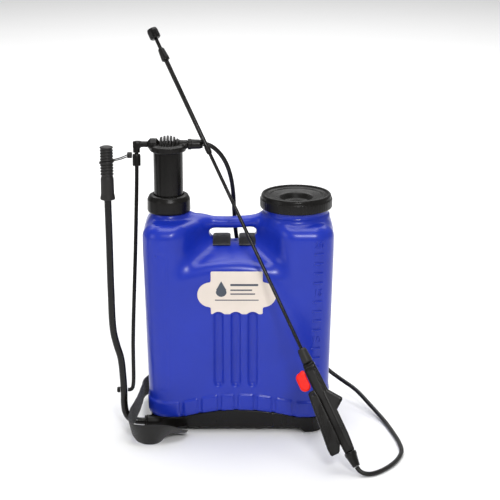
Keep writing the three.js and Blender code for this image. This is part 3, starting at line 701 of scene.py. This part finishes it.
def ink_field(x, y, z):
    """A generic print: a drop beside three ruled lines, and one long line below."""
    drop = smooth_max(np.hypot(x + 34, z - 308) - 11, np.abs(x + 34) + 0.55 * (z - 308) - 11, 2)
    drop = np.minimum(drop, polygon_distance(x, z, [(-44.5, 311), (-34, 330), (-23.5, 311)]))
    lines = np.full(np.shape(x), 1e9)
    for height, right, half in ((322, 40, 2.2), (311, 28, 1.4), (303, 34, 1.4)):
        lines = np.minimum(lines, round_box(x - (right - 16) / 2, z - height, (right + 16) / 2, half, 1))
    lines = np.minimum(lines, round_box(x + 3, z - 290, 44, 1.0, 0.8))
    return np.maximum(np.minimum(drop, lines), np.abs(y + TANK_DEPTH + 1.65) - 0.2)


# ------------------------------------------------------------------ pump
def pump_cap_field(x, y, z):
    """The chamber's cap: a flange and a low dome with upright fins, a stub for the hose on the
    right, and a boss with eight flats on the left."""
    px = x - PUMP_X
    r = np.hypot(px, y)
    body = round_max(round_max(r - 36, z - 586.5, 2.5), 575.4 - z, 1)
    collar = round_max(r - 31.5, z - 588.5, 2)
    dome = np.sqrt(px ** 2 + y ** 2 + (np.clip(z - 578, 0, None) * 1.12) ** 2) - 30.5
    fins = round_max(np.maximum(dome, np.abs(px - 3) - 19), 580 - z, 0.5)
    for k in range(5):
        slit = np.maximum(np.abs(px - 3 - (k - 2) * 6.6) - 1.4, 585.5 - z)
        fins = smooth_max(fins, -slit, 0.8)
    core = np.sqrt(px ** 2 + y ** 2 + (np.clip(z - 578, 0, None) * 1.6) ** 2) - 25
    body = smooth_min(body, smooth_min(collar, core, 3), 3)
    body = np.minimum(body, fins)
    stub = round_max(np.hypot(y, z - LINK_PIVOT_Z) - 8.5, np.abs(x + 113) - 11.6, 1)
    body = smooth_min(body, stub, 4)
    flats = np.maximum.reduce([
        np.abs(y * math.cos(a) + (z - LINK_PIVOT_Z) * math.sin(a)) for a in np.arange(4) * math.pi / 4
    ]) - 11.5
    boss = np.maximum(round_max(flats, np.abs(x + 170) - 12, 1.0), 0.72 * (flats + np.abs(x + 170)) - 4.6)
    body = smooth_min(body, boss, 2)
    bore = np.maximum(np.hypot(y, z - LINK_PIVOT_Z) - 4.3, x + 166)
    return np.maximum(body, -bore)


LINK_TILT = math.atan2(-LEVER_Y, LINK_PIVOT_Z - AXLE_Z - CRANK)
LINK_LENGTH = math.hypot(LEVER_Y, LINK_PIVOT_Z - AXLE_Z - CRANK)


def hang(points):
    """Points drawn on the link as it hangs straight down from its pivot, tilted to its rest."""
    points = np.asarray(points, dtype=float)
    x, y, z = points.T
    c, s = math.cos(LINK_TILT), math.sin(LINK_TILT)
    return np.stack([x, y * c + z * s, LINK_PIVOT_Z - y * s + z * c], axis=1)


def hung_field(field):
    """A field drawn on the hanging link, read in the tank frame."""
    c, s = math.cos(LINK_TILT), math.sin(LINK_TILT)

    def outer(x, y, z):
        z = z - LINK_PIVOT_Z
        return field(x, y * c - z * s, y * s + z * c)

    return outer


def elbow_field(x, y, z):
    arm = round_bar(y, z, x + 193.2, 6.0, 10.8)
    leg = round_max(np.hypot(x + 204, y) - 7.0, np.abs(z + 5.6) - 11.4, 1.2)
    body = smooth_min(arm, leg, 5)
    spigot = round_bar(y, z, x + 176.5, 4, 7.5)
    heel = round_max(round_box(x + 204, z + 1, 6.8, 6.8, 2), np.abs(y) - 6.2, 1)
    return np.minimum(smooth_min(body, heel, 2), spigot)


# ------------------------------------------------------------------ lance
def lance_axes():
    """Side, face and along: unit vectors of the lance, the side towards the hook."""
    along = (LANCE_TIP - LANCE_TAIL) / LANCE_LENGTH
    side = np.cross(along, [0.0, -1.0, 0.3])
    side *= np.sign(side[0]) / np.linalg.norm(side)
    return np.stack([side, np.cross(along, side), along])


LANCE = lance_axes()


def on_lance(points):
    """Points drawn with the lance upright from its tail, set on the leaning lance."""
    return LANCE_TAIL + np.asarray(points, dtype=float) @ LANCE


PIN_ALONG = 159.5
PIN_SIDE = -16.5
PIN_BORE = 2.3
HANDLE_OUTLINE = [
    (-9.5, 30.5), (9.5, 30.5), (11, 34), (13, 66), (13, 114.5), (30, 127), (32, 131.5), (13.5, 157),
    (12.5, 193.5), (11, 220), (-11, 220), (-13, 205.5), (-13, 161.5), (-10, 143.5), (-11, 56),
]
TRIGGER_OUTLINE = [
    (-8, 153.5), (-10, 167.5), (-22, 167.5), (-26, 163.5), (-27, 153.5), (-31, 113.5), (-37, 53.5),
    (-36.5, 40), (-34, 37), (-20, 37), (-16.5, 40), (-8, 56),
]


def pin_hole(x, y, z):
    """The trigger pin's hole, through the handle's lug and both of the trigger's cheeks."""
    return round_bar(x - PIN_SIDE, z - PIN_ALONG, y, PIN_BORE, 30)


def handle_field(x, y, z):
    """The valve handle: an outline rounded over its thickness, with a hook, a rib along each
    cheek, bands where it swells, and a lug for the trigger."""
    body = round_max(polygon_distance(x, z, HANDLE_OUTLINE), np.abs(y) - 9.2, 4.0)
    rib = round_bar(x - 3.5, np.abs(y) - 8.2, z - 98.5, 1.2, 58)
    body = smooth_min(body, rib, 0.6)
    groove = np.maximum(np.abs(x - 6.5) - 1.4, np.maximum(np.abs(z - 179.5) - 22, 8.2 - np.abs(y)))
    body = smooth_max(body, -groove, 1.5)
    for level in (207.5, 215.5):
        body = smooth_min(body, np.maximum(np.hypot(np.hypot(x, y) - 10.3, z - level) - 1.5, -1), 1.5)
    lug = polygon_distance(x, z, [(-11, 149.5), (-21, 153.5), (-21, 165.5), (-12, 168.5)])
    lug = round_max(lug, np.abs(y) - 3.2, 0.8)
    body = np.maximum(np.minimum(body, lug), -pin_hole(x, y, z))
    return np.maximum(body, -round_bar(x, y, z - 130, 3.6, 110))


def trigger_field(x, y, z):
    """The trigger: a channel that straddles the handle, with a rounded back and a rib."""
    body = round_max(polygon_distance(x, z, TRIGGER_OUTLINE), np.abs(y) - 12.2, 3.0)
    inner = [(0, 24), (0, 194), (-22.8, 194), (-22.8, 153.5), (-27, 113.5), (-33, 53.5), (-32.5, 24)]
    body = smooth_max(body, -np.maximum(polygon_distance(x, z, inner), np.abs(y) - 9.7), 0.8)
    back = -25.0 - 0.09 * np.clip(151.5 - z, 0, None)
    rib = round_bar(x - back, np.abs(y) - 12.0, z - 97, 1.3, 46)
    body = smooth_min(body, rib, 1.5)
    return np.maximum(body, -pin_hole(x, y, z))


def latch_field(x, y, z):
    """The latch: a domed capsule with a knuckle at its upper end."""
    away = np.hypot(x + 24.4, z - np.clip(z, 180.8, 198.0))
    body = round_max(away - 10.6, np.abs(y) - 8, 3.6)
    knuckle = round_max(np.hypot(x + 18.0, z - 204.5) - 6.4, np.abs(y) - 7.0, 2.5)
    return smooth_min(body, np.maximum(knuckle, x + 13.4), 2.0)


# ------------------------------------------------------------------ straps
ACROSS_X = (1.0, 0.0, 0.0)
ON_EDGE = (0.0, 0.0, -1.0)
WEB = {"width": 36.0, "thick": 2.0, "low_width": 43.0}
STRAPS = {"left": (-34.0, -1), "right": (19.0, 1)}      # across at the crest, and which way is out
LOWER_ENDS = {"left": -90.0, "right": 75.0}


def band(name, route, width, thickness, spacing=4.0, hump=None):
    """A flat band through (place, direction across) points. A hump (y, height, spread) lifts it
    into a sewn roll: its thickness grows by height * exp(-((y - y0) / spread)^4)."""
    path = through([where for where, _ in route], spacing)
    nearest = [int(np.argmin(np.linalg.norm(path - np.array(where), axis=1))) for where, _ in route]
    along = np.arange(len(path))
    directions = np.array([direction for _, direction in route], dtype=float)
    across = np.stack([np.interp(along, nearest, directions[:, i]) for i in range(3)], axis=1)
    if hump is None:
        return swept(name, path, flat_section(width, thickness), across)
    grow = hump[1] * np.exp(-((path[:, 1] - hump[0]) / hump[2]) ** 4)
    path = path + np.array([0.0, 0.0, 0.5]) * grow[:, None]
    return swept(name, path, flat_section(width, thickness), across, thicken=1 + grow / thickness)


def pad_mesh(name, route, width, thickness):
    """A shoulder pad: a crowned closed form. At (u, v) the half thickness is
    thickness / 2 * (1 - |v|^6)^0.4 * (1 - |w|^14)^0.4, less two sewn channels, and the outline's
    ends are round."""
    path = through(route, 3.0)
    across = np.tile(ACROSS_X, (len(path), 1))
    _, side, up = frames_along(path, across)
    w = np.linspace(-1, 1, len(path))
    v = np.sin(np.linspace(-math.pi / 2, math.pi / 2, 41))
    ww, vv = np.meshgrid(w, v, indexing="ij")
    half_width = width / 2 * (1 - np.abs(ww) ** 18) ** 0.5 * (1 - 0.06 * np.abs(np.sin(ww * 9)))
    crown = (1 - np.abs(vv) ** 6) ** 0.4 * (1 - np.abs(ww) ** 14) ** 0.4
    seams = np.exp(-((np.abs(vv) - 0.62) / 0.05) ** 2) * (np.abs(ww) < 0.93)
    seams = seams + np.exp(-((np.abs(ww) - 0.5) / 0.012) ** 2) * (np.abs(vv) < 0.62)
    half = thickness / 2 * crown * (1 - 0.45 * np.clip(seams, 0, 1))
    sides = side[:, None] * (vv * half_width)[..., None]
    top = path[:, None] + sides + up[:, None] * half[..., None]
    bottom = path[:, None] + sides - up[:, None] * half[..., None] * 0.8
    points = np.vstack([top.reshape(-1, 3), bottom.reshape(-1, 3)])
    rows, columns = ww.shape
    quads = grid_quads(rows, columns, False, False)
    uv = np.stack([ww * len(path) * 0.0015, vv * width * MM / 2], axis=-1).reshape(-1, 2)
    quads = np.vstack([quads, quads[:, ::-1] + rows * columns])
    piece = make_mesh(name, place(points), quads, uv=np.vstack([uv, uv]))
    closing = piece.modifiers.new("close_rim", "WELD")
    closing.merge_threshold = 0.0004
    return piece


# ------------------------------------------------------------------ settings and operators
class SprayerColours(bpy.types.PropertyGroup):
    tank: bpy.props.FloatVectorProperty(
        name="Tank", description="Colour of the blow-moulded tank", subtype="COLOR",
        default=(0.009, 0.03, 0.41), min=0, max=1)
    black: bpy.props.FloatVectorProperty(
        name="Black Parts", description="Colour of the black mouldings", subtype="COLOR",
        default=(0.0062, 0.0056, 0.005), min=0, max=1)
    red: bpy.props.FloatVectorProperty(
        name="Latch", description="Colour of the trigger's latch", subtype="COLOR",
        default=(0.86, 0.012, 0.004), min=0, max=1)
    label: bpy.props.FloatVectorProperty(
        name="Label", description="Colour of the label's film", subtype="COLOR",
        default=(0.8, 0.71, 0.63), min=0, max=1)
    gloss: bpy.props.FloatProperty(
        name="Tank Roughness", description="Lower is glossier", default=0.3,
        min=0.05, max=1, subtype="FACTOR")


class SprayerSizes(bpy.types.PropertyGroup):
    tank_step: bpy.props.FloatProperty(
        name="Tank Detail", description="Spacing of the tank's surface points", default=0.0031,
        min=0.001, max=0.02, unit="LENGTH")
    fine_step: bpy.props.FloatProperty(
        name="Fine Detail", description="Spacing on small mouldings", default=0.0011,
        min=0.0004, max=0.01, unit="LENGTH")
    hose_diameter: bpy.props.FloatProperty(
        name="Hose Diameter", description="Outer diameter of the supply hose", default=0.009,
        min=0.004, max=0.03, unit="LENGTH")
    grip_ribs: bpy.props.IntProperty(
        name="Grip Ribs", description="Ribs on the pump lever's grip", default=10, min=1, max=30)


def sizes():
    return bpy.context.scene.sprayer_sizes


class SPRAYER_OT_stage(bpy.types.Operator):
    """Camera, floor, backdrop and soft lights"""
    bl_idname = "sprayer.stage"
    bl_label = "Stage"

    def execute(self, context):
        camera = bpy.data.cameras.new("camera")
        camera.sensor_width = SENSOR
        camera.lens = FOCAL_RATIO * SENSOR
        camera.clip_end = 50
        viewer = bpy.data.objects.new("camera", camera)
        viewer.location = tuple(place(VIEWPOINT))
        viewer.rotation_euler = (math.radians(90 - VIEW_DOWN), 0, 0)
        context.scene.collection.objects.link(viewer)
        context.scene.camera = viewer
        half = 9.0
        corners = [(-half, -half, 0), (half, -half, 0), (half, half, 0), (-half, half, 0)]
        floor = bpy.data.meshes.new("floor")
        floor.from_pydata(corners, [], [(0, 1, 2, 3)])
        ground = bpy.data.objects.new("floor", floor)
        context.scene.collection.objects.link(ground)
        material, nodes, links, base = shader("pale_floor", (0.93, 0.93, 0.93), 0.8)
        links.new(tinted(nodes, links, noise(nodes, links, 2.0), (0.92, 0.92, 0.92), (0.94, 0.94, 0.94)),
                  base.inputs["Base Color"])
        floor.materials.append(material)
        ground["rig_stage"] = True
        context.scene.view_settings.view_transform = "Standard"
        for name, where, size, power, aim in (
            ("key", (0.5, -2.6, 2.2), 0.7, 46, (0, 0, 0.3)),
            ("fill", (-2.4, -1.2, 1.2), 1.2, 9, (0, 0, 0.3)),
            ("top", (0.0, 0.2, 2.8), 1.8, 38, (0, 0, 0.3)),
            ("back", (0.0, 3.6, 3.2), 5.0, 170, (0, 4.4, 0)),
        ):
            lamp = bpy.data.lights.new(name, "AREA")
            lamp.energy = power
            lamp.size = size
            light = bpy.data.objects.new(name, lamp)
            light.location = where
            direction = np.array(where) - np.array(aim)
            light.rotation_euler = (
                math.atan2(math.hypot(direction[0], direction[1]), direction[2]), 0,
                math.atan2(direction[0], -direction[1]))
            context.scene.collection.objects.link(light)
        world = bpy.data.worlds.new("studio")
        world.use_nodes = True
        world.node_tree.nodes["Background"].inputs["Color"].default_value = (1, 1, 1, 1)
        world.node_tree.nodes["Background"].inputs["Strength"].default_value = 0.36
        context.scene.world = world
        return {"FINISHED"}


class SPRAYER_OT_hose(bpy.types.Operator):
    """Supply hose from the pump's nut, behind the tank, round to the lance's tail"""
    bl_idname = "sprayer.hose"
    bl_label = "Supply Hose"

    def execute(self, context):
        path = through(HOSE_ROUTE, 5.0)
        diameter = sizes().hose_diameter
        piece = swept("hose", path, circle(diameter / MM / 2, 20))
        piece.data.materials.append(Finishes.get("hose_rubber"))
        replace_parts(piece, "supply_hose")
        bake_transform(piece)
        return {"FINISHED"}


class SPRAYER_OT_tank(bpy.types.Operator):
    """Blow-moulded tank with its handle, necks, flutes, skirt and level marks"""
    bl_idname = "sprayer.tank"
    bl_label = "Tank"

    def execute(self, context):
        step = sizes().tank_step / MM
        tank = from_field("tank", tank_field, (-196, -97, 36), (196, 97, 474), step)
        finish(tank, "tank", "blue_tank", "tank_shell")
        marks = scale_marks()
        marks.data.materials.clear()
        marks.data.set_sharp_from_angle(angle=math.radians(40))
        finish(marks, "tank", "blue_tank")
        label = from_field("label", label_field, (-84, -94, 257), (78, -91, 352), 0.9)
        finish(label, "tank", "label", "label_plate")
        ink = from_field("label_print", ink_field, (-46, -94.4, 286), (44, -93.2, 332), 0.55)
        finish(ink, "tank", "label", look="ink")
        return {"FINISHED"}


class SPRAYER_OT_base(bpy.types.Operator):
    """Black base with corner feet and the lever's axle boss"""
    bl_idname = "sprayer.base"
    bl_label = "Base"

    def execute(self, context):
        base = from_field("base", base_field, (-192, -93, 0), (186, 93, 51), 2.4)
        finish(base, "tank", "black_plastic", "base_stand")
        bush = turned("axle_bush", [
            (7.9, -194), (12, -194), (12, -190.3), (9, -190.3), (9, -149.3), (7.9, -149.3),
        ], (0, LEVER_Y, AXLE_Z), (1, 0, 0), 48, 0.5)
        finish(bush, "tank", "black_plastic", "lever_bush")
        return {"FINISHED"}


class SPRAYER_OT_pump(bpy.types.Operator):
    """Collar nut, air chamber, finned cap and hose nut"""
    bl_idname = "sprayer.pump"
    bl_label = "Pump"

    def execute(self, context):
        at = (PUMP_X, 0, 0)
        collar = turned("pump_collar", [
            (30.6, 486), (35.5, 486), (39.5, 483.8), (43.4, 476), (43.8, 453), (42, 450), (38.6, 450),
            (38.6, 476.3), (30.6, 476.3),
        ], at, radius=1.6)
        finish(collar, "tank", "black_plastic", "collar_nut")
        chamber = turned("pump_chamber", [
            (4, 571), (26.5, 571), (26.5, 216), (6, 216), (6, 212), (29.4, 212), (29.6, 574.8), (4, 574.8),
        ], at, radius=0.8)
        finish(chamber, "air_chamber", "black_plastic", "air_chamber", look="black_tube")
        cap = from_field("pump_cap", pump_cap_field, (-184, -37, 575), (-100, 37, 612), 1.1)
        finish(cap, "air_chamber", "black_plastic", "chamber_cap")
        nut = turned("hose_nut_outer", [
            (4.6, -101), (10.4, -101), (11, -99.5), (11, -94.5), (10, -93.5), (9.4, -77), (7.4, -71),
            (4.6, -71),
        ], (0, 0, LINK_PIVOT_Z), (1, 0, 0), 64, 0.7,
            wave=lambda t, h: 1 + 0.012 * np.cos(12 * t) * (h > -93) * (h < -78))
        finish(nut, "air_chamber", "black_plastic", "hose_nut")
        return {"FINISHED"}


class SPRAYER_OT_link(bpy.types.Operator):
    """Elbow, sleeve and rod between the pump's cap and the lever"""
    bl_idname = "sprayer.link"
    bl_label = "Link Rod"

    def execute(self, context):
        elbow = from_field("elbow", hung_field(elbow_field), (-212, -8, 555), (-168, 10, 598), 0.9)
        finish(elbow, "link", "black_plastic", "link_elbow")
        path = hang([(-204, 0, -43.5), (-204, 0, -19.5)])
        axis = path[1] - path[0]
        sleeve = turned("sleeve", [
            (4.3, 0), (7.8, 0), (8.2, 1.5), (8.2, 20), (7.4, 24), (4.3, 24),
        ], path[0], axis, 48, 0.7)
        finish(sleeve, "link", "black_plastic", "rod_sleeve")
        low = -LINK_LENGTH
        route = through([
            (-204, 0, -16.5), (-204, 0, -60), (-208, 0, -200), (-215.4, 0, -400), (-216, 0, low + 14),
            (-218, 0, low + 4), (-221.5, 0, low + 0.4), (-227.2, 0, low),
        ], 3.0)
        rod = swept("rod", hang(route), circle(3.95, 20))
        finish(rod, "link", "steel", "link_rod", look="black_tube")
        return {"FINISHED"}


class SPRAYER_OT_lever(bpy.types.Operator):
    """Pump lever with its ribbed grip, crank pin and retaining tie"""
    bl_idname = "sprayer.lever"
    bl_label = "Pump Lever"

    def execute(self, context):
        route = [
            (-143, 19), (-172, 19), (-198, 19), (-212, 20.3), (-225, 26), (-232.5, 38), (-235.4, 54),
            (-235.5, 89), (-236.5, 115), (-240, 158), (-247.6, 187), (-253.8, 219), (-256, 300),
            (-256.4, 410), (GRIP_X, 500), (GRIP_X, 590),
        ]
        tube = swept("lever_tube", through([(x, LEVER_Y, z) for x, z in route], 3.5), circle(7.15, 28))
        finish(tube, "pump_lever", "black_tube", "pump_lever")
        ribs, top, smooth_top = sizes().grip_ribs, 600.0, 538.0
        pitch = (top - 3 - smooth_top) / ribs
        profile = [(0, 601), (9, 601)]
        for i in range(ribs):
            high = top - i * pitch
            profile += [(13.0, high - 0.6), (13.2, high - pitch * 0.45), (11.3, high - pitch * 0.62),
                        (11.3, high - pitch * 0.92)]
        profile += [(12.8, 536), (13.2, 505), (14.8, 497), (14.6, 494), (7.6, 494), (7.6, 592), (0, 592)]
        grip = turned("grip", profile, (GRIP_X, LEVER_Y, 0), segments=64, radius=0.9, steps=3)
        finish(grip, "pump_lever", "rubber", "lever_grip", look="grip")
        pin = turned("crank_pin", [(0, -249.5), (4.4, -249.5), (6, -248), (6, -243.2), (0, -243.2)],
                     (0, LEVER_Y, AXLE_Z + CRANK), (1, 0, 0), 40, 0.8)
        finish(pin, "pump_lever", "steel", "link_pin", look="black_plastic")
        t = np.linspace(0, 2 * math.pi, 49)
        reach = 14.3
        loop = np.stack([
            GRIP_X + reach * np.cos(t), LEVER_Y + reach * np.sin(t), 569.5 + 1.6 * np.cos(t),
        ], axis=1)
        upright = np.tile([0.0, 0.0, 1.0], (len(t), 1))
        strands = [swept("tie_loop", loop, flat_section(3.4, 1.2, 0.2, 12), upright)]
        for low, high in (((-249, -62, 568), (-219, -9, 565.5)), ((-247.5, -63, 571), (-219, -9, 569.5))):
            middle = (np.array(low) + np.array(high)) / 2 - [0, 0, 1.5]
            strands.append(swept("tie_strand", through([low, middle, high], 4.0), circle(1.15, 10)))
        strands.append(turned("tie_ring", [(2.6, -222.5), (6.3, -222.5), (6.3, -213), (2.6, -213)],
                              (0, -6, 567), (1, 0, 0), 36, 1.6))
        tie = joined("tie", strands)
        finish(tie, "pump_lever", "black_plastic", "retaining_tie", look="grip")
        return {"FINISHED"}


class SPRAYER_OT_filler(bpy.types.Operator):
    """Dished filler cap"""
    bl_idname = "sprayer.filler"
    bl_label = "Filler Cap"

    def execute(self, context):
        def ribs(t, h):
            banded = np.clip((h - 460) / 2, 0, 1) * np.clip((481 - h) / 2, 0, 1)
            return 1 + 0.004 * banded * np.cos(72 * t)

        cap = turned("cap", [
            (0, 464), (27.5, 464), (34.5, 477), (66.4, 477), (66.4, 460), (68, 459), (71.5, 459), (73, 461),
            (73, 477.5), (71.6, 479), (70.8, 484.5), (68.5, 487.6), (65.5, 487.6), (63.5, 484), (60, 482.6),
            (58.2, 484.2), (55, 484.2), (53, 482), (38, 480), (34, 479), (31.5, 476), (27, 468.8), (20, 467),
            (0, 466.6),
        ], (FILLER_X, 0, 0), segments=216, radius=1.3, wave=ribs)
        finish(cap, "filler_cap", "black_plastic", "filler_cap")
        return {"FINISHED"}


class SPRAYER_OT_straps(bpy.types.Operator):
    """Webbing over the handle's crest, shoulder pads and lower straps"""
    bl_idname = "sprayer.straps"
    bl_label = "Carrying Straps"

    def execute(self, context):
        for side, (x, out) in STRAPS.items():
            top = [(-28, 385), (-14, 390.2), (0, 391.4), (14, 390.4), (40, 381), (80, 367.4), (93, 360),
                   (100, 349), (103, 338)]
            loop = band(f"top_strap_{side}", [((x, y, z), ACROSS_X) for y, z in top],
                        WEB["width"], WEB["thick"], hump=(0.0, 9.0, 20.0))
            finish(loop, "tank", "webbing", f"top_webbing_{side}")
            pad_route = [(x + out * dx, y, z) for dx, y, z in (
                (8, 107, 331), (19, 109, 270), (37, 110, 200), (54, 109, 136))]
            pad = pad_mesh(f"pad_{side}", pad_route, 56.0, 13.0)
            finish(pad, "tank", "pad_fabric", f"shoulder_pad_{side}")
        end = LOWER_ENDS["left"]
        left = [
            ((end, 108, 104), ACROSS_X), ((end - 0.6, 108.6, 91), (1, 0, -0.05)),
            ((end - 20, 111, 64), (0.6, 0, -0.8)), ((end - 50, 113, 48), (0.2, 0, -0.98)),
            ((-180, 110, 36), ON_EDGE), ((-203, 84, 30), ON_EDGE), ((-207, 30, 34), ON_EDGE),
            ((-207, -40, 48), ON_EDGE), ((-209, -74, 51.5), ON_EDGE), ((-213, -92, 48), ON_EDGE),
            ((-219, -108, 39), ON_EDGE), ((-220, -124, 30), (0.2, 0, -0.98)),
            ((-211, -141, 25), (0.4, 0, -0.92)), ((-193, -151, 23.4), (0.35, 0, -0.94)),
            ((-172, -151, 23), (0.1, 0, -0.99)), ((-152, -143, 21.5), (-0.3, 0.2, -0.93)),
            ((-136, -127, 16), (-0.75, 0.3, -0.6)), ((-128, -112, 9.5), (-0.95, 0.25, -0.15)),
            ((-125, -96, 9), (-1.0, 0.0, 0.0)),
        ]
        piece = band("lower_strap_left", left, WEB["low_width"], WEB["thick"])
        finish(piece, "tank", "webbing", "lower_webbing_left")
        end = LOWER_ENDS["right"]
        right = [((end + dx, y, z), ACROSS_X) for dx, y, z in (
            (0, 108, 104), (2, 110, 70), (3, 110, 36), (3, 104, 12), (3, 92, 4), (3, 70, 3))]
        piece = band("lower_strap_right", right, WEB["low_width"], WEB["thick"])
        finish(piece, "tank", "webbing", "lower_webbing_right")
        return {"FINISHED"}


class SPRAYER_OT_lance(bpy.types.Operator):
    """Lance: valve handle, trigger, latch, telescopic tubes, nuts and nozzle"""
    bl_idname = "sprayer.lance"
    bl_label = "Lance"

    def execute(self, context):
        fine = sizes().fine_step / MM
        handle = from_field("handle", handle_field, (-22, -11, 30), (34, 11, 222), fine, on_lance)
        finish(handle, "tank", "black_plastic", "lance_handle")
        trigger = from_field("trigger", trigger_field, (-38, -14, 36), (-7, 14, 169), fine, on_lance)
        finish(trigger, "trigger", "black_plastic", "trigger_lever")
        latch = from_field("latch", latch_field, (-36, -9, 169), (-12, 9, 211), 0.8, on_lance)
        finish(latch, "latch", "red_plastic", "trigger_latch")

        def flats(t, h):
            return 1 + 0.02 * np.cos(8 * t)

        def knurl(t, h):
            return 1 + 0.02 * np.cos(14 * t)

        turnings = (
            ("tail_nut_outer", "tank", "black_plastic", "tail_nut", None, flats, [
                (4.6, 0), (7, 0), (10.4, 20), (11.6, 24), (11.6, 30.2), (4.6, 30.2)]),
            ("lance_nut_outer", "tank", "black_plastic", "lance_nut", "grip", flats, [
                (3.9, 220.3), (9.6, 220.3), (10.4, 222.5), (10.4, 226.5), (9, 246), (7, 250.5), (3.9, 250.5)]),
            ("lance_tube_inner", "tank", "black_tube", "inner_tube", None, None, [
                (2, 222.5), (3.5, 222.5), (3.5, 730), (2, 730)]),
            ("lance_tube_outer", "lance_tube", "black_tube", "outer_tube", None, None, [
                (3.9, 694.3), (4.6, 694.3), (4.6, 888), (3.9, 888)]),
            ("collar", "clamp_collar", "black_plastic", "clamp_collar", None, flats, [
                (3.9, 678), (4.7, 678), (5.6, 682), (5.6, 691), (5.0, 694), (3.9, 694)]),
            ("tip_nut_outer", "lance_tube", "black_plastic", "tip_nut", None, flats, [
                (0, 888.3), (7.6, 888.3), (8.2, 890), (8.2, 893), (6.4, 913), (4.5, 916), (0, 916)]),
            ("stem", "lance_tube", "black_plastic", "nozzle_stem", None, None, [
                (0, 916.3), (3.6, 916.3), (3.6, 937.7), (0, 937.7)]),
            ("nozzle_head", "nozzle", "red_plastic", "nozzle_cap", "black_plastic", knurl, [
                (0, 938), (8.6, 938), (11, 940.5), (11, 955), (9.6, LANCE_LENGTH), (2.2, LANCE_LENGTH),
                (1.2, LANCE_LENGTH - 3), (0, LANCE_LENGTH - 3)]),
        )
        for name, body, slot, node, look, wave, profile in turnings:
            piece = turned(name, profile, LANCE_TAIL, LANCE[2], 56, 0.8, wave)
            finish(piece, body, slot, node, look)
        return {"FINISHED"}


class SPRAYER_OT_kept_parts(bpy.types.Operator):
    """Finishes on the frame's own parts that keep their shape"""
    bl_idname = "sprayer.kept_parts"
    bl_label = "Inner Parts"

    def execute(self, context):
        hidden = {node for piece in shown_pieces() for node in piece.get("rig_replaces", [])}
        for row in frame["record"]["subparts"]:
            node = row["node"]
            if node in hidden:
                continue
            piece = bpy.data.objects.get(node)
            if piece is None:
                continue
            look = "black_plastic" if node == "trigger_pin" else row["material_slot"]
            piece.data.materials.clear()
            piece.data.materials.append(Finishes.get(look))
        return {"FINISHED"}


class SPRAYER_PT_panel(bpy.types.Panel):
    """The sprayer's settings and pieces"""
    bl_idname = "SPRAYER_PT_panel"
    bl_label = "Backpack Sprayer"
    bl_space_type = "VIEW_3D"
    bl_region_type = "UI"
    bl_category = "Sprayer"

    def draw(self, context):
        for settings in (context.scene.sprayer_colours, context.scene.sprayer_sizes):
            for name in settings.__annotations__:
                self.layout.prop(settings, name)
        for operator in STEPS:
            self.layout.operator(operator.bl_idname)


STEPS = (
    SPRAYER_OT_stage, SPRAYER_OT_hose, SPRAYER_OT_tank, SPRAYER_OT_base, SPRAYER_OT_pump, SPRAYER_OT_link,
    SPRAYER_OT_lever, SPRAYER_OT_filler, SPRAYER_OT_straps, SPRAYER_OT_lance, SPRAYER_OT_kept_parts,
)
CLASSES = (SprayerColours, SprayerSizes, *STEPS, SPRAYER_PT_panel)


def register():
    for cls in CLASSES:
        bpy.utils.register_class(cls)
    bpy.types.Scene.sprayer_colours = bpy.props.PointerProperty(type=SprayerColours)
    bpy.types.Scene.sprayer_sizes = bpy.props.PointerProperty(type=SprayerSizes)


def unregister():
    del bpy.types.Scene.sprayer_colours
    del bpy.types.Scene.sprayer_sizes
    for cls in reversed(CLASSES):
        bpy.utils.unregister_class(cls)


def main():
    register()
    for operator in STEPS:
        group, name = operator.bl_idname.split(".")
        getattr(getattr(bpy.ops, group), name)()


if __name__ == "__main__":
    main()
